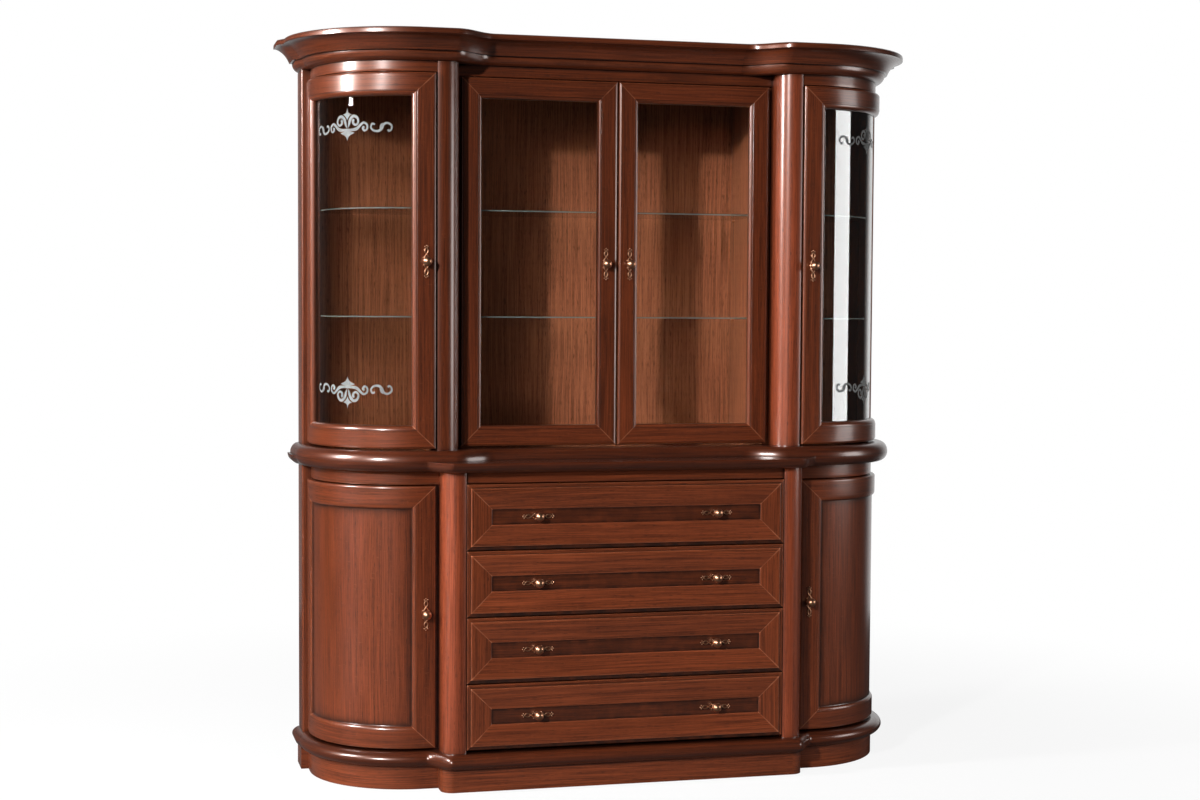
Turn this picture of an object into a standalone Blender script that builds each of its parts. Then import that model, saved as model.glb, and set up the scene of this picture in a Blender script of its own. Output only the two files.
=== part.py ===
"""A two-part breakfront display cabinet in stained oak, modelled piece by piece.

The lower cabinet stands on a plinth. Four drawers run between two corner posts, and a
curved door closes the rounded cupboard at each end. The upper cabinet has two flat glazed
doors set back in the middle and a curved glazed door at each end, under a deep cornice.

Lengths are in metres. X runs to the right, Y to the back and Z up. The origin is at the
middle of the footprint, on the floor. A depth is measured back from the drawer faces.
"""

import math

import bmesh
import bpy
from mathutils import Matrix, Vector

# Overall sizes
cabinet_height = 2.150
lower_height = 0.939
body_depth = 0.500

# Clearances: pieces that touch, and the gaps that doors and drawers run in
contact_gap = 0.0003
drawer_gap = 0.002
stack_gap = 0.003
door_head_gap = 0.003
door_foot_gap = 0.005
overrun = 0.010
weld_distance = 0.00003
flat_angle = math.radians(0.5)

# Plan: each end of the cabinet is a quarter circle about an upright axis. Its front is set
# back from the drawer faces, and it runs straight for a short way before the rear post
end_setback = 0.083
end_straight = 0.035
end_axis_offset = 0.0405
end_facet_angle = math.radians(7.5)
lower_face_depth = 0.012
upper_face_depth = 0.165

# Boards that carry the mouldings: how far each edge stands out from the carcass
plinth_height = 0.067
plinth_stand = 0.009
plinth_block_stand = 0.004
plinth_wall = 0.018
base_board_thickness = 0.044
base_board_overhang = 0.041
base_board_rear_step = 0.007
countertop_thickness = 0.028
countertop_overhang = 0.050
countertop_rear_step = 0.010
upper_base_thickness = 0.030
upper_base_overhang = 0.050
upper_base_rear_step = 0.002
upper_base_centre_lead = 0.035
cornice_height = 0.084
cornice_overhang = 0.0815
cornice_rear_step = 0.017
cornice_wall = 0.030
cornice_fillet = 0.016
cornice_bead = 0.027
cornice_bead_step = 0.008
cornice_lip = 0.006
cornice_hollow_shares = ((0.45, 0.22), (0.75, 0.55), (1.0, 1.0))
top_board_thickness = 0.018

# Where the front edge of a board swings from the middle to the ends, from the posts' faces
lower_swing_lead = 0.0225
lower_swing_lag = 0.0455
upper_swing_lead = 0.1018
upper_swing_lag = 0.0232
swing_steps = 8
bead_steps = 3
nose_steps = 4

# Posts
plinth_block_radius = 0.035
lower_post_radius = 0.042
upper_post_radius = 0.050
lower_post_inner_x = 0.4735
lower_post_width = 0.064
upper_post_inset = 0.0033
upper_post_width = 0.0677
upper_post_front_depth = 0.075
upper_post_lap = 0.0195
post_stop_thickness = 0.0142
post_stop_reach = 0.016
post_stop_clearance = 0.0033
rear_post_width = 0.039
rear_post_depth = 0.100
rear_post_stand = 0.027
rear_post_radius = 0.006
rear_post_steps = 2
corner_steps = 8

# Carcass
partition_thickness = 0.018
lower_partition_inset = 0.005
upper_partition_cover = 0.0183
upper_partition_clearance = 0.0025
back_panel_thickness = 0.008
back_panel_inset = 0.0035
frieze_thickness = 0.0112
lower_frieze_height = 0.040
upper_frieze_height = 0.030
upper_frieze_lead = 0.007
head_board_thickness = 0.018
drawer_rail_height = 0.032
drawer_rail_depth = 0.020
pocket_post_inset = 0.016
pocket_post_lap = 0.004
pocket_stop_gap = 0.0006

# Drawers
drawer_count = 4
drawer_foot_gap = 0.008
drawer_front_thickness = 0.022
drawer_lip_width = 0.010
drawer_lip_drop = 0.005
drawer_step_width = 0.003
drawer_panel_height = 0.041
drawer_slope_drop = 0.006
drawer_panel_step = 0.003
drawer_box_side_gap = 0.0035
drawer_box_back_gap = 0.046
drawer_box_height = 0.140
drawer_box_foot = 0.014
drawer_box_wall = 0.012
drawer_box_floor = 0.008
runner_reach = 0.016
runner_thickness = 0.010
drawer_knob_inset = 0.208

# Doors
door_thickness = 0.024
door_stand = 0.0125
door_rail_width = 0.066
end_door_stile_width = 0.070
end_door_edge_gap = 0.005
end_door_pivot_inset = 0.004
centre_door_stand = 0.012
centre_door_edge_gap = 0.0133
centre_door_meeting_gap = 0.003
centre_door_thickness = 0.022
centre_door_frame_width = 0.060
centre_door_pivot_inset = 0.004
rebate_depth = 0.005
rebate_width = 0.008
pane_thickness = 0.004
lower_panel_sink = 0.008
pivot_radius = 0.003
pivot_root = 0.006
lower_door_knob_rise = 0.0105
end_door_knob_inset = 0.0285
centre_door_knob_inset = 0.0345

# Glass shelves and the pins that carry them
shelf_thickness = 0.006
shelf_height_shares = (0.342, 0.6225)
shelf_side_gap = 0.0015
shelf_front_setback = 0.0145
end_shelf_setback = 0.0145
end_shelf_back_gap = 0.003
pin_radius = 0.003
pin_reach = 0.008
pin_root = 0.004
pin_inset = 0.035
pin_sides = 8

# Knobs: a turned ball on a pierced backplate
knob_ball_radius = 0.0135
knob_neck_radius = 0.0050
knob_collar_radius = 0.0085
knob_collar_height = 0.0045
knob_neck_height = 0.0080
knob_steps = 12
knob_crease_angle = math.radians(40)
plate_length = 0.094
plate_thickness = 0.0025
plate_middle_half_width = 0.0115
plate_waist_half_width = 0.0035
plate_lobe_half_width = 0.0085
plate_middle_share = 0.20
plate_lobe_share = 0.76
plate_lobe_width_share = 0.12
plate_end_power = 8
plate_steps = 18

# Levels worked out from the sizes above
base_top = plinth_height + base_board_thickness
countertop_bottom = lower_height - countertop_thickness
upper_base_top = lower_height + upper_base_thickness
cornice_bottom = cabinet_height - cornice_height
lower_frieze_bottom = countertop_bottom - lower_frieze_height
upper_frieze_bottom = cornice_bottom - upper_frieze_height
drawer_rail_bottom = countertop_bottom - drawer_rail_height
upper_case_height = cornice_bottom - upper_base_top
shelf_heights = [upper_base_top + upper_case_height * share for share in shelf_height_shares]

# Places in the plan, worked out from the sizes above
nose_reach = countertop_overhang - lower_face_depth
origin_depth = (body_depth - nose_reach) / 2
lower_post_outer_x = lower_post_inner_x + lower_post_width
upper_post_inner_x = lower_post_inner_x + upper_post_inset
upper_post_outer_x = upper_post_inner_x + upper_post_width
rear_post_front_depth = body_depth - rear_post_depth
end_axis_x = upper_post_outer_x + end_axis_offset
end_axis_depth = rear_post_front_depth - end_straight
end_radius = end_axis_depth - end_setback
end_front_depth = end_setback
end_side_x = end_axis_x + end_radius
rear_post_outer_x = end_side_x + rear_post_stand
rear_post_inner_x = rear_post_outer_x - rear_post_width
back_panel_front_depth = body_depth - back_panel_inset - back_panel_thickness
door_outer_radius = end_radius + door_stand
door_inner_radius = door_outer_radius - door_thickness
end_door_edge_x = upper_post_outer_x + end_door_edge_gap
end_door_back_depth = rear_post_front_depth - stack_gap
post_stop_front_depth = end_axis_depth - door_inner_radius + post_stop_clearance
post_stop_back_depth = post_stop_front_depth + post_stop_thickness
post_stop_x = upper_post_outer_x + post_stop_reach
lower_partition_face_x = lower_post_inner_x + lower_partition_inset
upper_partition_face_x = upper_post_inner_x - upper_partition_cover
upper_frieze_depth = upper_face_depth - upper_frieze_lead
centre_door_face_depth = upper_frieze_depth - centre_door_stand
centre_door_edge_x = upper_post_inner_x - centre_door_edge_gap
upper_partition_front_depth = centre_door_face_depth + centre_door_thickness + upper_partition_clearance
upper_post_back_depth = upper_partition_front_depth + upper_post_lap
shelf_front_depth = upper_partition_front_depth + shelf_front_setback
end_shelf_radius = door_inner_radius - end_shelf_setback
drawer_box_front_depth = drawer_front_thickness + contact_gap
drawer_box_length = back_panel_front_depth - drawer_box_back_gap - drawer_box_front_depth

finishes = {
    "stained_oak": ((0.235, 0.075, 0.040), 0.32, 0.0, 1.0),
    "oak_veneer": ((0.300, 0.115, 0.060), 0.45, 0.0, 1.0),
    "birch_ply": ((0.560, 0.390, 0.230), 0.55, 0.0, 1.0),
    "aged_brass": ((0.480, 0.270, 0.130), 0.35, 0.9, 1.0),
    "clear_glass": ((0.780, 0.860, 0.840), 0.05, 0.0, 0.35),
}


def clear_scene():
    for stale in list(bpy.data.objects):
        bpy.data.objects.remove(stale, do_unlink=True)


def new_collection(name):
    collection = bpy.data.collections.new(name)
    bpy.context.scene.collection.children.link(collection)
    return collection


def make_finish(name):
    colour, roughness, metallic, alpha = finishes[name]
    material = bpy.data.materials.new(name)
    material.use_nodes = True
    shader = material.node_tree.nodes["Principled BSDF"]
    shader.inputs["Base Color"].default_value = (*colour, 1.0)
    shader.inputs["Roughness"].default_value = roughness
    shader.inputs["Metallic"].default_value = metallic
    shader.inputs["Alpha"].default_value = alpha
    return material


def place_y(depth):
    return depth - origin_depth


def add_object(name, data, finish):
    piece = bpy.data.objects.new(name, data)
    cabinet.objects.link(piece)
    data.materials.append(materials[finish])
    return piece


def hide_cutter(piece):
    """Moves a cutter out of the cabinet's collection and keeps it out of renders."""
    cabinet.objects.unlink(piece)
    cutters.objects.link(piece)
    piece.hide_render = True
    piece.display_type = "WIRE"


def box(name, low, high, finish):
    """A block between two corners, each given as (x, depth, height)."""
    size = Vector(high) - Vector(low)
    bm = bmesh.new()
    bmesh.ops.create_cube(bm, size=1.0)
    bmesh.ops.scale(bm, vec=size, verts=bm.verts)
    mesh = bpy.data.meshes.new(name)
    bm.to_mesh(mesh)
    bm.free()
    piece = add_object(name, mesh, finish)
    centre = (Vector(low) + Vector(high)) / 2
    piece.location = (centre.x, place_y(centre.y), centre.z)
    return piece


def filled_outline(name, points, thickness, finish):
    """A closed outline in the curve's own XY plane, filled and drawn out both ways."""
    curve = bpy.data.curves.new(name, "CURVE")
    curve.dimensions = "2D"
    curve.fill_mode = "BOTH"
    curve.extrude = thickness / 2
    spline = curve.splines.new("POLY")
    spline.points.add(len(points) - 1)
    for point, (x, y) in zip(spline.points, points):
        point.co = (x, y, 0, 1)
    spline.use_cyclic_u = True
    return add_object(name, curve, finish)


def slab(name, outline, bottom, top, finish):
    """A flat outline of (x, depth) points, filled and drawn up from bottom to top."""
    points = [(x, place_y(depth)) for x, depth in outline]
    piece = filled_outline(name, points, top - bottom, finish)
    piece.location.z = (bottom + top) / 2
    return piece


def rod(name, radius, length):
    """A round brass rod about its own Z axis, middle at the origin."""
    bm = bmesh.new()
    bmesh.ops.create_cone(
        bm, segments=pin_sides, radius1=radius, radius2=radius, depth=length, cap_ends=True
    )
    mesh = bpy.data.meshes.new(name)
    bm.to_mesh(mesh)
    bm.free()
    return add_object(name, mesh, "aged_brass")


def as_mesh(piece):
    """Swaps a curve object for a welded mesh object of the same name and place.

    Its caps come filled with triangles, which are merged back into one flat face each.
    """
    graph = bpy.context.evaluated_depsgraph_get()
    mesh = bpy.data.meshes.new_from_object(piece.evaluated_get(graph))
    bm = bmesh.new()
    bm.from_mesh(mesh)
    bmesh.ops.remove_doubles(bm, verts=bm.verts, dist=weld_distance)
    bmesh.ops.dissolve_limit(bm, angle_limit=flat_angle, verts=bm.verts, edges=bm.edges)
    bmesh.ops.recalc_face_normals(bm, faces=bm.faces)
    bm.to_mesh(mesh)
    bm.free()
    name = piece.name
    matrix = piece.matrix_basis.copy()
    curve = piece.data
    material = curve.materials[0]
    bpy.data.objects.remove(piece, do_unlink=True)
    bpy.data.curves.remove(curve)
    mesh.materials.clear()
    mesh.materials.append(material)
    solid = bpy.data.objects.new(name, mesh)
    solid.matrix_basis = matrix
    cabinet.objects.link(solid)
    return solid


def combine(piece, tool, operation):
    """Cuts the tool from the piece, or joins it on, with a Boolean that stays live."""
    modifier = piece.modifiers.new(tool.name, "BOOLEAN")
    modifier.operation = operation
    modifier.solver = "EXACT"
    modifier.object = tool
    hide_cutter(tool)


def loft(name, rings, looped, finish):
    """A skin over closed rings of (x, depth, height) points, all with as many points.

    The rings run anticlockwise seen from above. A looped loft joins its last ring to its
    first, and any other is closed with a flat cap at each end.
    """
    bm = bmesh.new()
    loops = [[bm.verts.new((x, place_y(depth), z)) for x, depth, z in ring] for ring in rings]
    pairs = list(zip(loops, loops[1:]))
    if looped:
        pairs.append((loops[-1], loops[0]))
    count = len(loops[0])
    for below, above in pairs:
        for i in range(count):
            j = (i + 1) % count
            bm.faces.new((below[i], below[j], above[j], above[i]))
    if not looped:
        bm.faces.new(loops[-1])
        bm.faces.new(list(reversed(loops[0])))
    mesh = bpy.data.meshes.new(name)
    bm.to_mesh(mesh)
    bm.free()
    return add_object(name, mesh, finish)


def end_point(radius, angle):
    """A point of the right-hand end, at an angle from straight ahead."""
    return (end_axis_x + radius * math.sin(angle), end_axis_depth - radius * math.cos(angle))


def end_arc(radius, start, stop):
    """Points of the right-hand end between two angles, on one grid of facets."""
    first = math.floor(start / end_facet_angle) + 1
    last = math.ceil(stop / end_facet_angle) - 1
    inner = [i * end_facet_angle for i in range(first, last + 1)]
    return [end_point(radius, angle) for angle in [start, *inner, stop]]


def corner_arc(centre_x, centre_depth, radius, start, steps, turn=math.pi / 2):
    """Corner points turned about a centre, from an angle measured from straight ahead."""
    angles = [start + i * turn / steps for i in range(steps + 1)]
    return [(centre_x + radius * math.sin(a), centre_depth - radius * math.cos(a)) for a in angles]


def mirrored(outline):
    return [(-x, depth) for x, depth in reversed(outline)]


def whole(half):
    """The closed outline whose right half runs from the front middle to the back."""
    return half + mirrored(half)


def at_height(outline, z):
    return [(x, depth, z) for x, depth in outline]


def swing(start_x, start_depth, stop_x, stop_depth):
    """The smooth step of a board's front edge, level at both ends."""
    points = []
    for i in range(swing_steps + 1):
        share = i / swing_steps
        eased_share = (1 - math.cos(math.pi * share)) / 2
        x = start_x + (stop_x - start_x) * share
        points.append((x, start_depth + (stop_depth - start_depth) * eased_share))
    return points


def board(edge_swing, overhang, rear_step, back_depth):
    """A moulded board's outline, standing out from the carcass by overhang.

    Its edge swings from the middle to the round ends, and steps out once more behind them
    to pass the rear posts.
    """
    radius = end_radius + overhang
    rear_x = end_axis_x + radius + rear_step
    half = edge_swing + end_arc(radius, 0, math.pi / 2)
    half += [(rear_x, rear_post_front_depth), (rear_x, back_depth)]
    return whole(half)


def lower_board(overhang, rear_step, back_depth):
    end_depth = end_front_depth - overhang
    start_x = lower_post_outer_x - lower_swing_lead
    edge = swing(start_x, lower_face_depth - overhang, lower_post_outer_x + lower_swing_lag, end_depth)
    return board(edge, overhang, rear_step, back_depth)


def upper_board(middle_depth, overhang, rear_step, back_depth):
    end_depth = end_front_depth - overhang
    start_x = upper_post_inner_x - upper_swing_lead
    edge = swing(start_x, middle_depth - overhang, upper_post_inner_x + upper_swing_lag, end_depth)
    return board(edge, overhang, rear_step, back_depth)


def quarter_profile(reach, low, high, steps, tucked_below):
    """(overhang, height) pairs of a quarter-round edge, from low to high."""
    pairs = []
    for i in range(steps + 1):
        turn = math.pi / 2 * i / steps
        out = math.sin(turn) if tucked_below else math.cos(turn)
        rise = 1 - math.cos(turn) if tucked_below else math.sin(turn)
        pairs.append((reach * out, low + (high - low) * rise))
    return pairs


def plinth_half(inset):
    """Right half of the plinth's outline: a block under each post and a curved end between."""
    front = lower_face_depth - plinth_stand + inset
    block_x = lower_post_outer_x + plinth_block_stand - inset
    corner = plinth_block_radius - inset
    radius = end_radius + plinth_stand - inset
    end_front = end_axis_depth - radius
    rear_x = rear_post_outer_x + plinth_block_stand - inset
    half = corner_arc(block_x - corner, front + corner, corner, 0, corner_steps)
    half += [(block_x, end_front)]
    half += end_arc(radius, 0, math.pi / 2)
    half += [(end_axis_x + radius, rear_post_front_depth + inset), (rear_x, rear_post_front_depth + inset)]
    half += [(rear_x, body_depth - inset)]
    return half


def make_base():
    outer = whole(plinth_half(0))
    inner = whole(plinth_half(plinth_wall))
    top = plinth_height - contact_gap
    rings = [at_height(outer, 0), at_height(outer, top), at_height(inner, top), at_height(inner, 0)]
    loft("plinth", rings, True, "stained_oak")

    swell = base_board_thickness / 2
    middle = plinth_height + swell
    tuck = base_board_overhang - plinth_stand
    profile = quarter_profile(tuck, plinth_height, middle, bead_steps, True)
    profile += quarter_profile(tuck, middle, base_top, bead_steps, False)[1:]
    profile = [(plinth_stand + out, z) for out, z in profile]
    rings = [at_height(lower_board(out, base_board_rear_step, body_depth), z) for out, z in profile]
    loft("base_board", rings, False, "stained_oak")


def make_counter():
    bottom = countertop_bottom
    top = lower_height - contact_gap
    tuck = countertop_overhang / 2
    profile = quarter_profile(tuck, bottom, top - contact_gap, nose_steps, True)
    profile = [(countertop_overhang - tuck + out, z) for out, z in profile] + [(countertop_overhang, top)]
    rings = [at_height(lower_board(out, countertop_rear_step, body_depth), z) for out, z in profile]
    loft("countertop", rings, False, "stained_oak")

    tuck = upper_base_overhang / 2
    profile = quarter_profile(tuck, lower_height, upper_base_top, nose_steps, False)
    profile = [(upper_base_overhang - tuck + out, z) for out, z in profile]
    centre_depth = upper_face_depth - upper_base_centre_lead
    rings = []
    for out, z in profile:
        outline = upper_board(centre_depth, out, upper_base_rear_step, body_depth)
        rings.append(at_height(outline, z))
    loft("upper_base_board", rings, False, "stained_oak")


def make_cornice():
    bead_top = cornice_bottom + cornice_bead
    bead = quarter_profile(cornice_bead, cornice_bottom, bead_top, bead_steps, True)
    hollow_bottom = cornice_bead + cornice_bead_step
    hollow_top = cabinet_height - cornice_fillet
    rise = hollow_top - bead_top
    run = cornice_overhang - cornice_lip - hollow_bottom
    profile = bead + [(hollow_bottom, bead_top)]
    for height_share, run_share in cornice_hollow_shares:
        profile.append((hollow_bottom + run * run_share, bead_top + rise * height_share))
    profile += [(cornice_overhang, hollow_top), (cornice_overhang, cabinet_height - cornice_lip)]
    profile.append((cornice_overhang - cornice_lip, cabinet_height))
    rings = []
    for out, z in profile:
        outline = upper_board(upper_face_depth, out, cornice_rear_step, body_depth)
        rings.append(at_height(outline, z))
    inner_back = body_depth - cornice_wall
    inner = upper_board(upper_face_depth, -cornice_wall, cornice_rear_step, inner_back)
    rings.append(at_height(inner, cabinet_height))
    rings.append(at_height(inner, cornice_bottom))
    loft("cornice", rings, True, "stained_oak")

    inset = cornice_wall + contact_gap
    lid = upper_board(upper_face_depth, -inset, cornice_rear_step, inner_back - contact_gap)
    slab("top_board", lid, cabinet_height - top_board_thickness, cabinet_height, "oak_veneer")


def lower_post_outline():
    """A corner post with a round front, full on its outer side, and a stop for the door behind."""
    radius = lower_post_radius
    centre_x = lower_post_outer_x - radius
    lean = math.asin((centre_x - lower_post_inner_x) / radius)
    outline = corner_arc(centre_x, radius, radius, -lean, corner_steps, math.pi / 2 + lean)
    outline += [(lower_post_outer_x, post_stop_front_depth), (post_stop_x, post_stop_front_depth)]
    outline += [(post_stop_x, post_stop_back_depth), (lower_post_inner_x, post_stop_back_depth)]
    return outline


def upper_post_outline():
    """A corner post with a round front, full on its inner side, and a stop for the door behind."""
    radius = upper_post_radius
    back = upper_post_back_depth
    centre_x = upper_post_inner_x + radius
    lean = math.asin((upper_post_outer_x - centre_x) / radius)
    centre_depth = upper_post_front_depth + radius
    outline = corner_arc(centre_x, centre_depth, radius, -math.pi / 2, corner_steps, math.pi / 2 + lean)
    outline += [(upper_post_outer_x, post_stop_front_depth)]
    outline += [(post_stop_x, post_stop_front_depth), (post_stop_x, post_stop_back_depth)]
    outline += [(upper_post_outer_x, post_stop_back_depth), (upper_post_outer_x, back)]
    outline += [(upper_post_inner_x, back)]
    return outline


def rear_post_outline():
    radius = rear_post_radius
    front = rear_post_front_depth
    outline = [(rear_post_inner_x, front)]
    outline += corner_arc(rear_post_outer_x - radius, front + radius, radius, 0, rear_post_steps)
    outline += [(rear_post_outer_x, body_depth), (rear_post_inner_x, body_depth)]
    return outline


def make_posts(side, turned):
    lower_top = countertop_bottom - contact_gap
    upper_top = cornice_bottom - contact_gap
    rows = (
        ("lower_corner_post", lower_post_outline(), base_top + contact_gap, lower_top),
        ("lower_rear_post", rear_post_outline(), base_top + contact_gap, lower_top),
        ("upper_corner_post", upper_post_outline(), upper_base_top + contact_gap, upper_top),
        ("upper_rear_post", rear_post_outline(), upper_base_top + contact_gap, upper_top),
    )
    for name, outline, bottom, top in rows:
        post = slab(f"{name}_{side}", turned(outline), bottom, top, "stained_oak")
        if name == "upper_rear_post":
            depth = (rear_post_front_depth + back_panel_front_depth) / 2
            stop = rear_post_inner_x + pin_root
            add_pins(as_mesh(post), side, [depth], rear_post_inner_x - pin_reach, stop)


def add_pins(panel, side, depths, start, stop):
    """Joins shelf pins to an upright piece: rods along X between two places from the middle."""
    sign = 1 if side == "right" else -1
    for level, height in enumerate(shelf_heights):
        for row, depth in enumerate(depths):
            pin = rod(f"{panel.name}_pin_{level}_{row}", pin_radius, stop - start)
            pin.rotation_euler.y = math.pi / 2
            pin.location.x = sign * (start + stop) / 2
            pin.location.y = place_y(depth)
            pin.location.z = height - contact_gap - pin_radius * math.cos(math.pi / pin_sides)
            combine(panel, pin, "UNION")


def make_partitions(side, turned):
    """The upright panels between the middle and the ends, with runners or shelf pins."""
    sign = 1 if side == "right" else -1
    face = lower_partition_face_x
    bottom = base_top + contact_gap
    top = countertop_bottom - head_board_thickness - contact_gap
    section = [(face + partition_thickness, bottom), (face + partition_thickness, top), (face, top)]
    for index in reversed(range(drawer_count)):
        ledge_top = drawer_bottom(index) + drawer_box_foot - contact_gap
        ledge_bottom = ledge_top - runner_thickness
        section += [(face, ledge_top), (face - runner_reach, ledge_top)]
        section += [(face - runner_reach, ledge_bottom), (face, ledge_bottom)]
    section.append((face, bottom))
    front = post_stop_back_depth + contact_gap
    back = back_panel_front_depth - contact_gap
    points = [(sign * x, z) for x, z in section]
    panel = filled_outline(f"lower_partition_{side}", points, back - front, "oak_veneer")
    panel.rotation_euler.x = math.pi / 2
    panel.location.y = place_y((front + back) / 2)

    face = upper_partition_face_x
    low = (face, upper_partition_front_depth, upper_base_top + contact_gap)
    high = (face + partition_thickness, back, cornice_bottom - head_board_thickness - contact_gap)
    xs = sorted((sign * low[0], sign * high[0]))
    panel = box(f"upper_partition_{side}", (xs[0], *low[1:]), (xs[1], *high[1:]), "oak_veneer")
    depths = [shelf_front_depth + pin_inset, back - pin_inset]
    add_pins(panel, side, depths, face - pin_reach, face + partition_thickness + pin_reach)


def head_half(front, inner_x, outer_x, post_back_depth):
    """Right half of a head board: round the corner post and its stop, then along the curved end."""
    beside_x = outer_x + contact_gap
    past_stop_x = post_stop_x + contact_gap
    stop_back = post_stop_back_depth + contact_gap
    half = [(inner_x - contact_gap, front), (inner_x - contact_gap, post_back_depth + contact_gap)]
    if post_back_depth > post_stop_back_depth:
        half += [(beside_x, post_back_depth + contact_gap), (beside_x, stop_back)]
    half += [(past_stop_x, stop_back), (past_stop_x, end_front_depth + frieze_thickness)]
    half += [(beside_x, end_front_depth + frieze_thickness), (beside_x, end_front_depth)]
    half += end_arc(end_radius, 0, math.pi / 2)
    half += [(end_side_x, rear_post_front_depth - contact_gap)]
    half += [(rear_post_inner_x - contact_gap, rear_post_front_depth - contact_gap)]
    half += [(rear_post_inner_x - contact_gap, back_panel_front_depth - contact_gap)]
    return half


def pocket_half(front, inner_x, post_back_depth):
    """Right half of the hollow behind the friezes, under a head board. It laps onto the posts."""
    start_x = inner_x + pocket_post_inset
    beside_x = upper_post_outer_x - pocket_post_lap
    past_stop_x = post_stop_x - pocket_post_lap
    post_back = post_back_depth - pocket_post_lap
    inner_radius = end_radius - frieze_thickness
    half = [(start_x, front), (start_x, post_back)]
    if post_back_depth > post_stop_back_depth:
        stop_middle = (post_stop_front_depth + post_stop_back_depth) / 2
        half += [(beside_x, post_back), (beside_x, stop_middle), (past_stop_x, stop_middle)]
    else:
        half += [(past_stop_x, post_back)]
    half += [(past_stop_x, post_stop_front_depth + pocket_stop_gap)]
    half += end_arc(inner_radius, 0, math.pi / 2)
    half += [(end_axis_x + inner_radius, body_depth + overrun)]
    return half


def make_head(name, halves, bottom, top):
    """A head board whose underside is hollowed out, which leaves the friezes standing down."""
    outline, pocket = halves
    head = as_mesh(slab(name, whole(outline), bottom, top - contact_gap, "stained_oak"))
    ceiling = top - head_board_thickness
    hollow = slab(f"{name}_hollow", whole(pocket), bottom - overrun, ceiling, "stained_oak")
    combine(head, as_mesh(hollow), "DIFFERENCE")
    return head


def make_heads():
    """The board over each cabinet, with its friezes and the rail over the drawers."""
    rail_back = lower_face_depth + drawer_rail_depth
    back = post_stop_back_depth
    outline = head_half(lower_face_depth, lower_post_inner_x, lower_post_outer_x, back)
    pocket = pocket_half(rail_back, lower_post_inner_x, back)
    head = make_head("lower_frieze", (outline, pocket), lower_frieze_bottom, countertop_bottom)
    trim_low = (-lower_post_inner_x, -overrun, lower_frieze_bottom - overrun)
    trim_high = (lower_post_inner_x, rail_back + overrun, drawer_rail_bottom)
    combine(head, box("drawer_rail_trim", trim_low, trim_high, "stained_oak"), "DIFFERENCE")

    back = upper_post_back_depth
    outline = head_half(upper_frieze_depth, upper_post_inner_x, upper_post_outer_x, back)
    pocket = pocket_half(upper_frieze_depth + frieze_thickness, upper_post_inner_x, back)
    make_head("upper_frieze", (outline, pocket), upper_frieze_bottom, cornice_bottom)


def make_backs():
    side = rear_post_inner_x - contact_gap
    front = back_panel_front_depth
    back = front + back_panel_thickness
    rows = (
        ("lower_back_panel", base_top + contact_gap, countertop_bottom - contact_gap),
        ("upper_back_panel", upper_base_top + contact_gap, cornice_bottom - contact_gap),
    )
    for name, bottom, top in rows:
        box(name, (-side, front, bottom), (side, back, top), "oak_veneer")


def make_shelves():
    """Six glass shelves: two in the middle and two at each end, on pins."""
    back = back_panel_front_depth - end_shelf_back_gap
    inner_x = upper_partition_face_x + partition_thickness + shelf_side_gap
    beside_x = upper_post_outer_x + end_door_edge_gap
    past_stop_x = post_stop_x + shelf_side_gap
    post_back = upper_post_back_depth + shelf_side_gap
    stop_back = post_stop_back_depth + shelf_side_gap
    end_outline = [(inner_x, post_back), (beside_x, post_back), (beside_x, stop_back)]
    end_outline += [(past_stop_x, stop_back), (past_stop_x, end_axis_depth - end_shelf_radius)]
    end_outline += end_arc(end_shelf_radius, 0, math.pi / 2)
    beside_post = rear_post_front_depth + end_shelf_back_gap
    end_outline.append((end_axis_x + end_shelf_radius, beside_post))
    end_outline += [(rear_post_inner_x - shelf_side_gap, beside_post)]
    end_outline += [(rear_post_inner_x - shelf_side_gap, back), (inner_x, back)]
    for label, height in zip(("low", "high"), shelf_heights):
        top = height + shelf_thickness
        x = upper_partition_face_x - shelf_side_gap
        box(f"centre_shelf_{label}", (-x, shelf_front_depth, height), (x, back, top), "clear_glass")
        slab(f"right_shelf_{label}", end_outline, height, top, "clear_glass")
        slab(f"left_shelf_{label}", mirrored(end_outline), height, top, "clear_glass")


def drawer_bottom(index):
    lowest = base_top + drawer_foot_gap
    highest = drawer_rail_bottom - stack_gap
    pitch = (highest + stack_gap - lowest) / drawer_count
    return lowest + index * pitch


def drawer_height():
    return drawer_bottom(1) - drawer_bottom(0) - stack_gap


def make_drawer_front(name, bottom):
    """A front with a low lip, a raised frame that slopes in, and a sunk flat panel."""
    side = lower_post_inner_x - drawer_gap
    height = drawer_height()
    low = Vector((-side, drawer_lip_drop, bottom))
    high = Vector((side, drawer_front_thickness, bottom + height))
    front = box(name, low, high, "stained_oak")
    bm = bmesh.new()
    bm.from_mesh(front.data)
    bm.faces.ensure_lookup_table()
    face = min(bm.faces, key=lambda f: f.calc_center_median().y)
    frame_width = (height - drawer_panel_height) / 2
    slope_width = frame_width - drawer_lip_width - drawer_step_width - drawer_panel_step
    stages = (
        (drawer_lip_width, 0),
        (drawer_step_width, drawer_lip_drop),
        (slope_width, -drawer_slope_drop),
        (drawer_panel_step, -drawer_panel_step),
    )
    for width, rise in stages:
        bmesh.ops.inset_individual(bm, faces=[face], thickness=width, depth=rise, use_even_offset=True)
    bm.to_mesh(front.data)
    bm.free()
    return front


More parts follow.
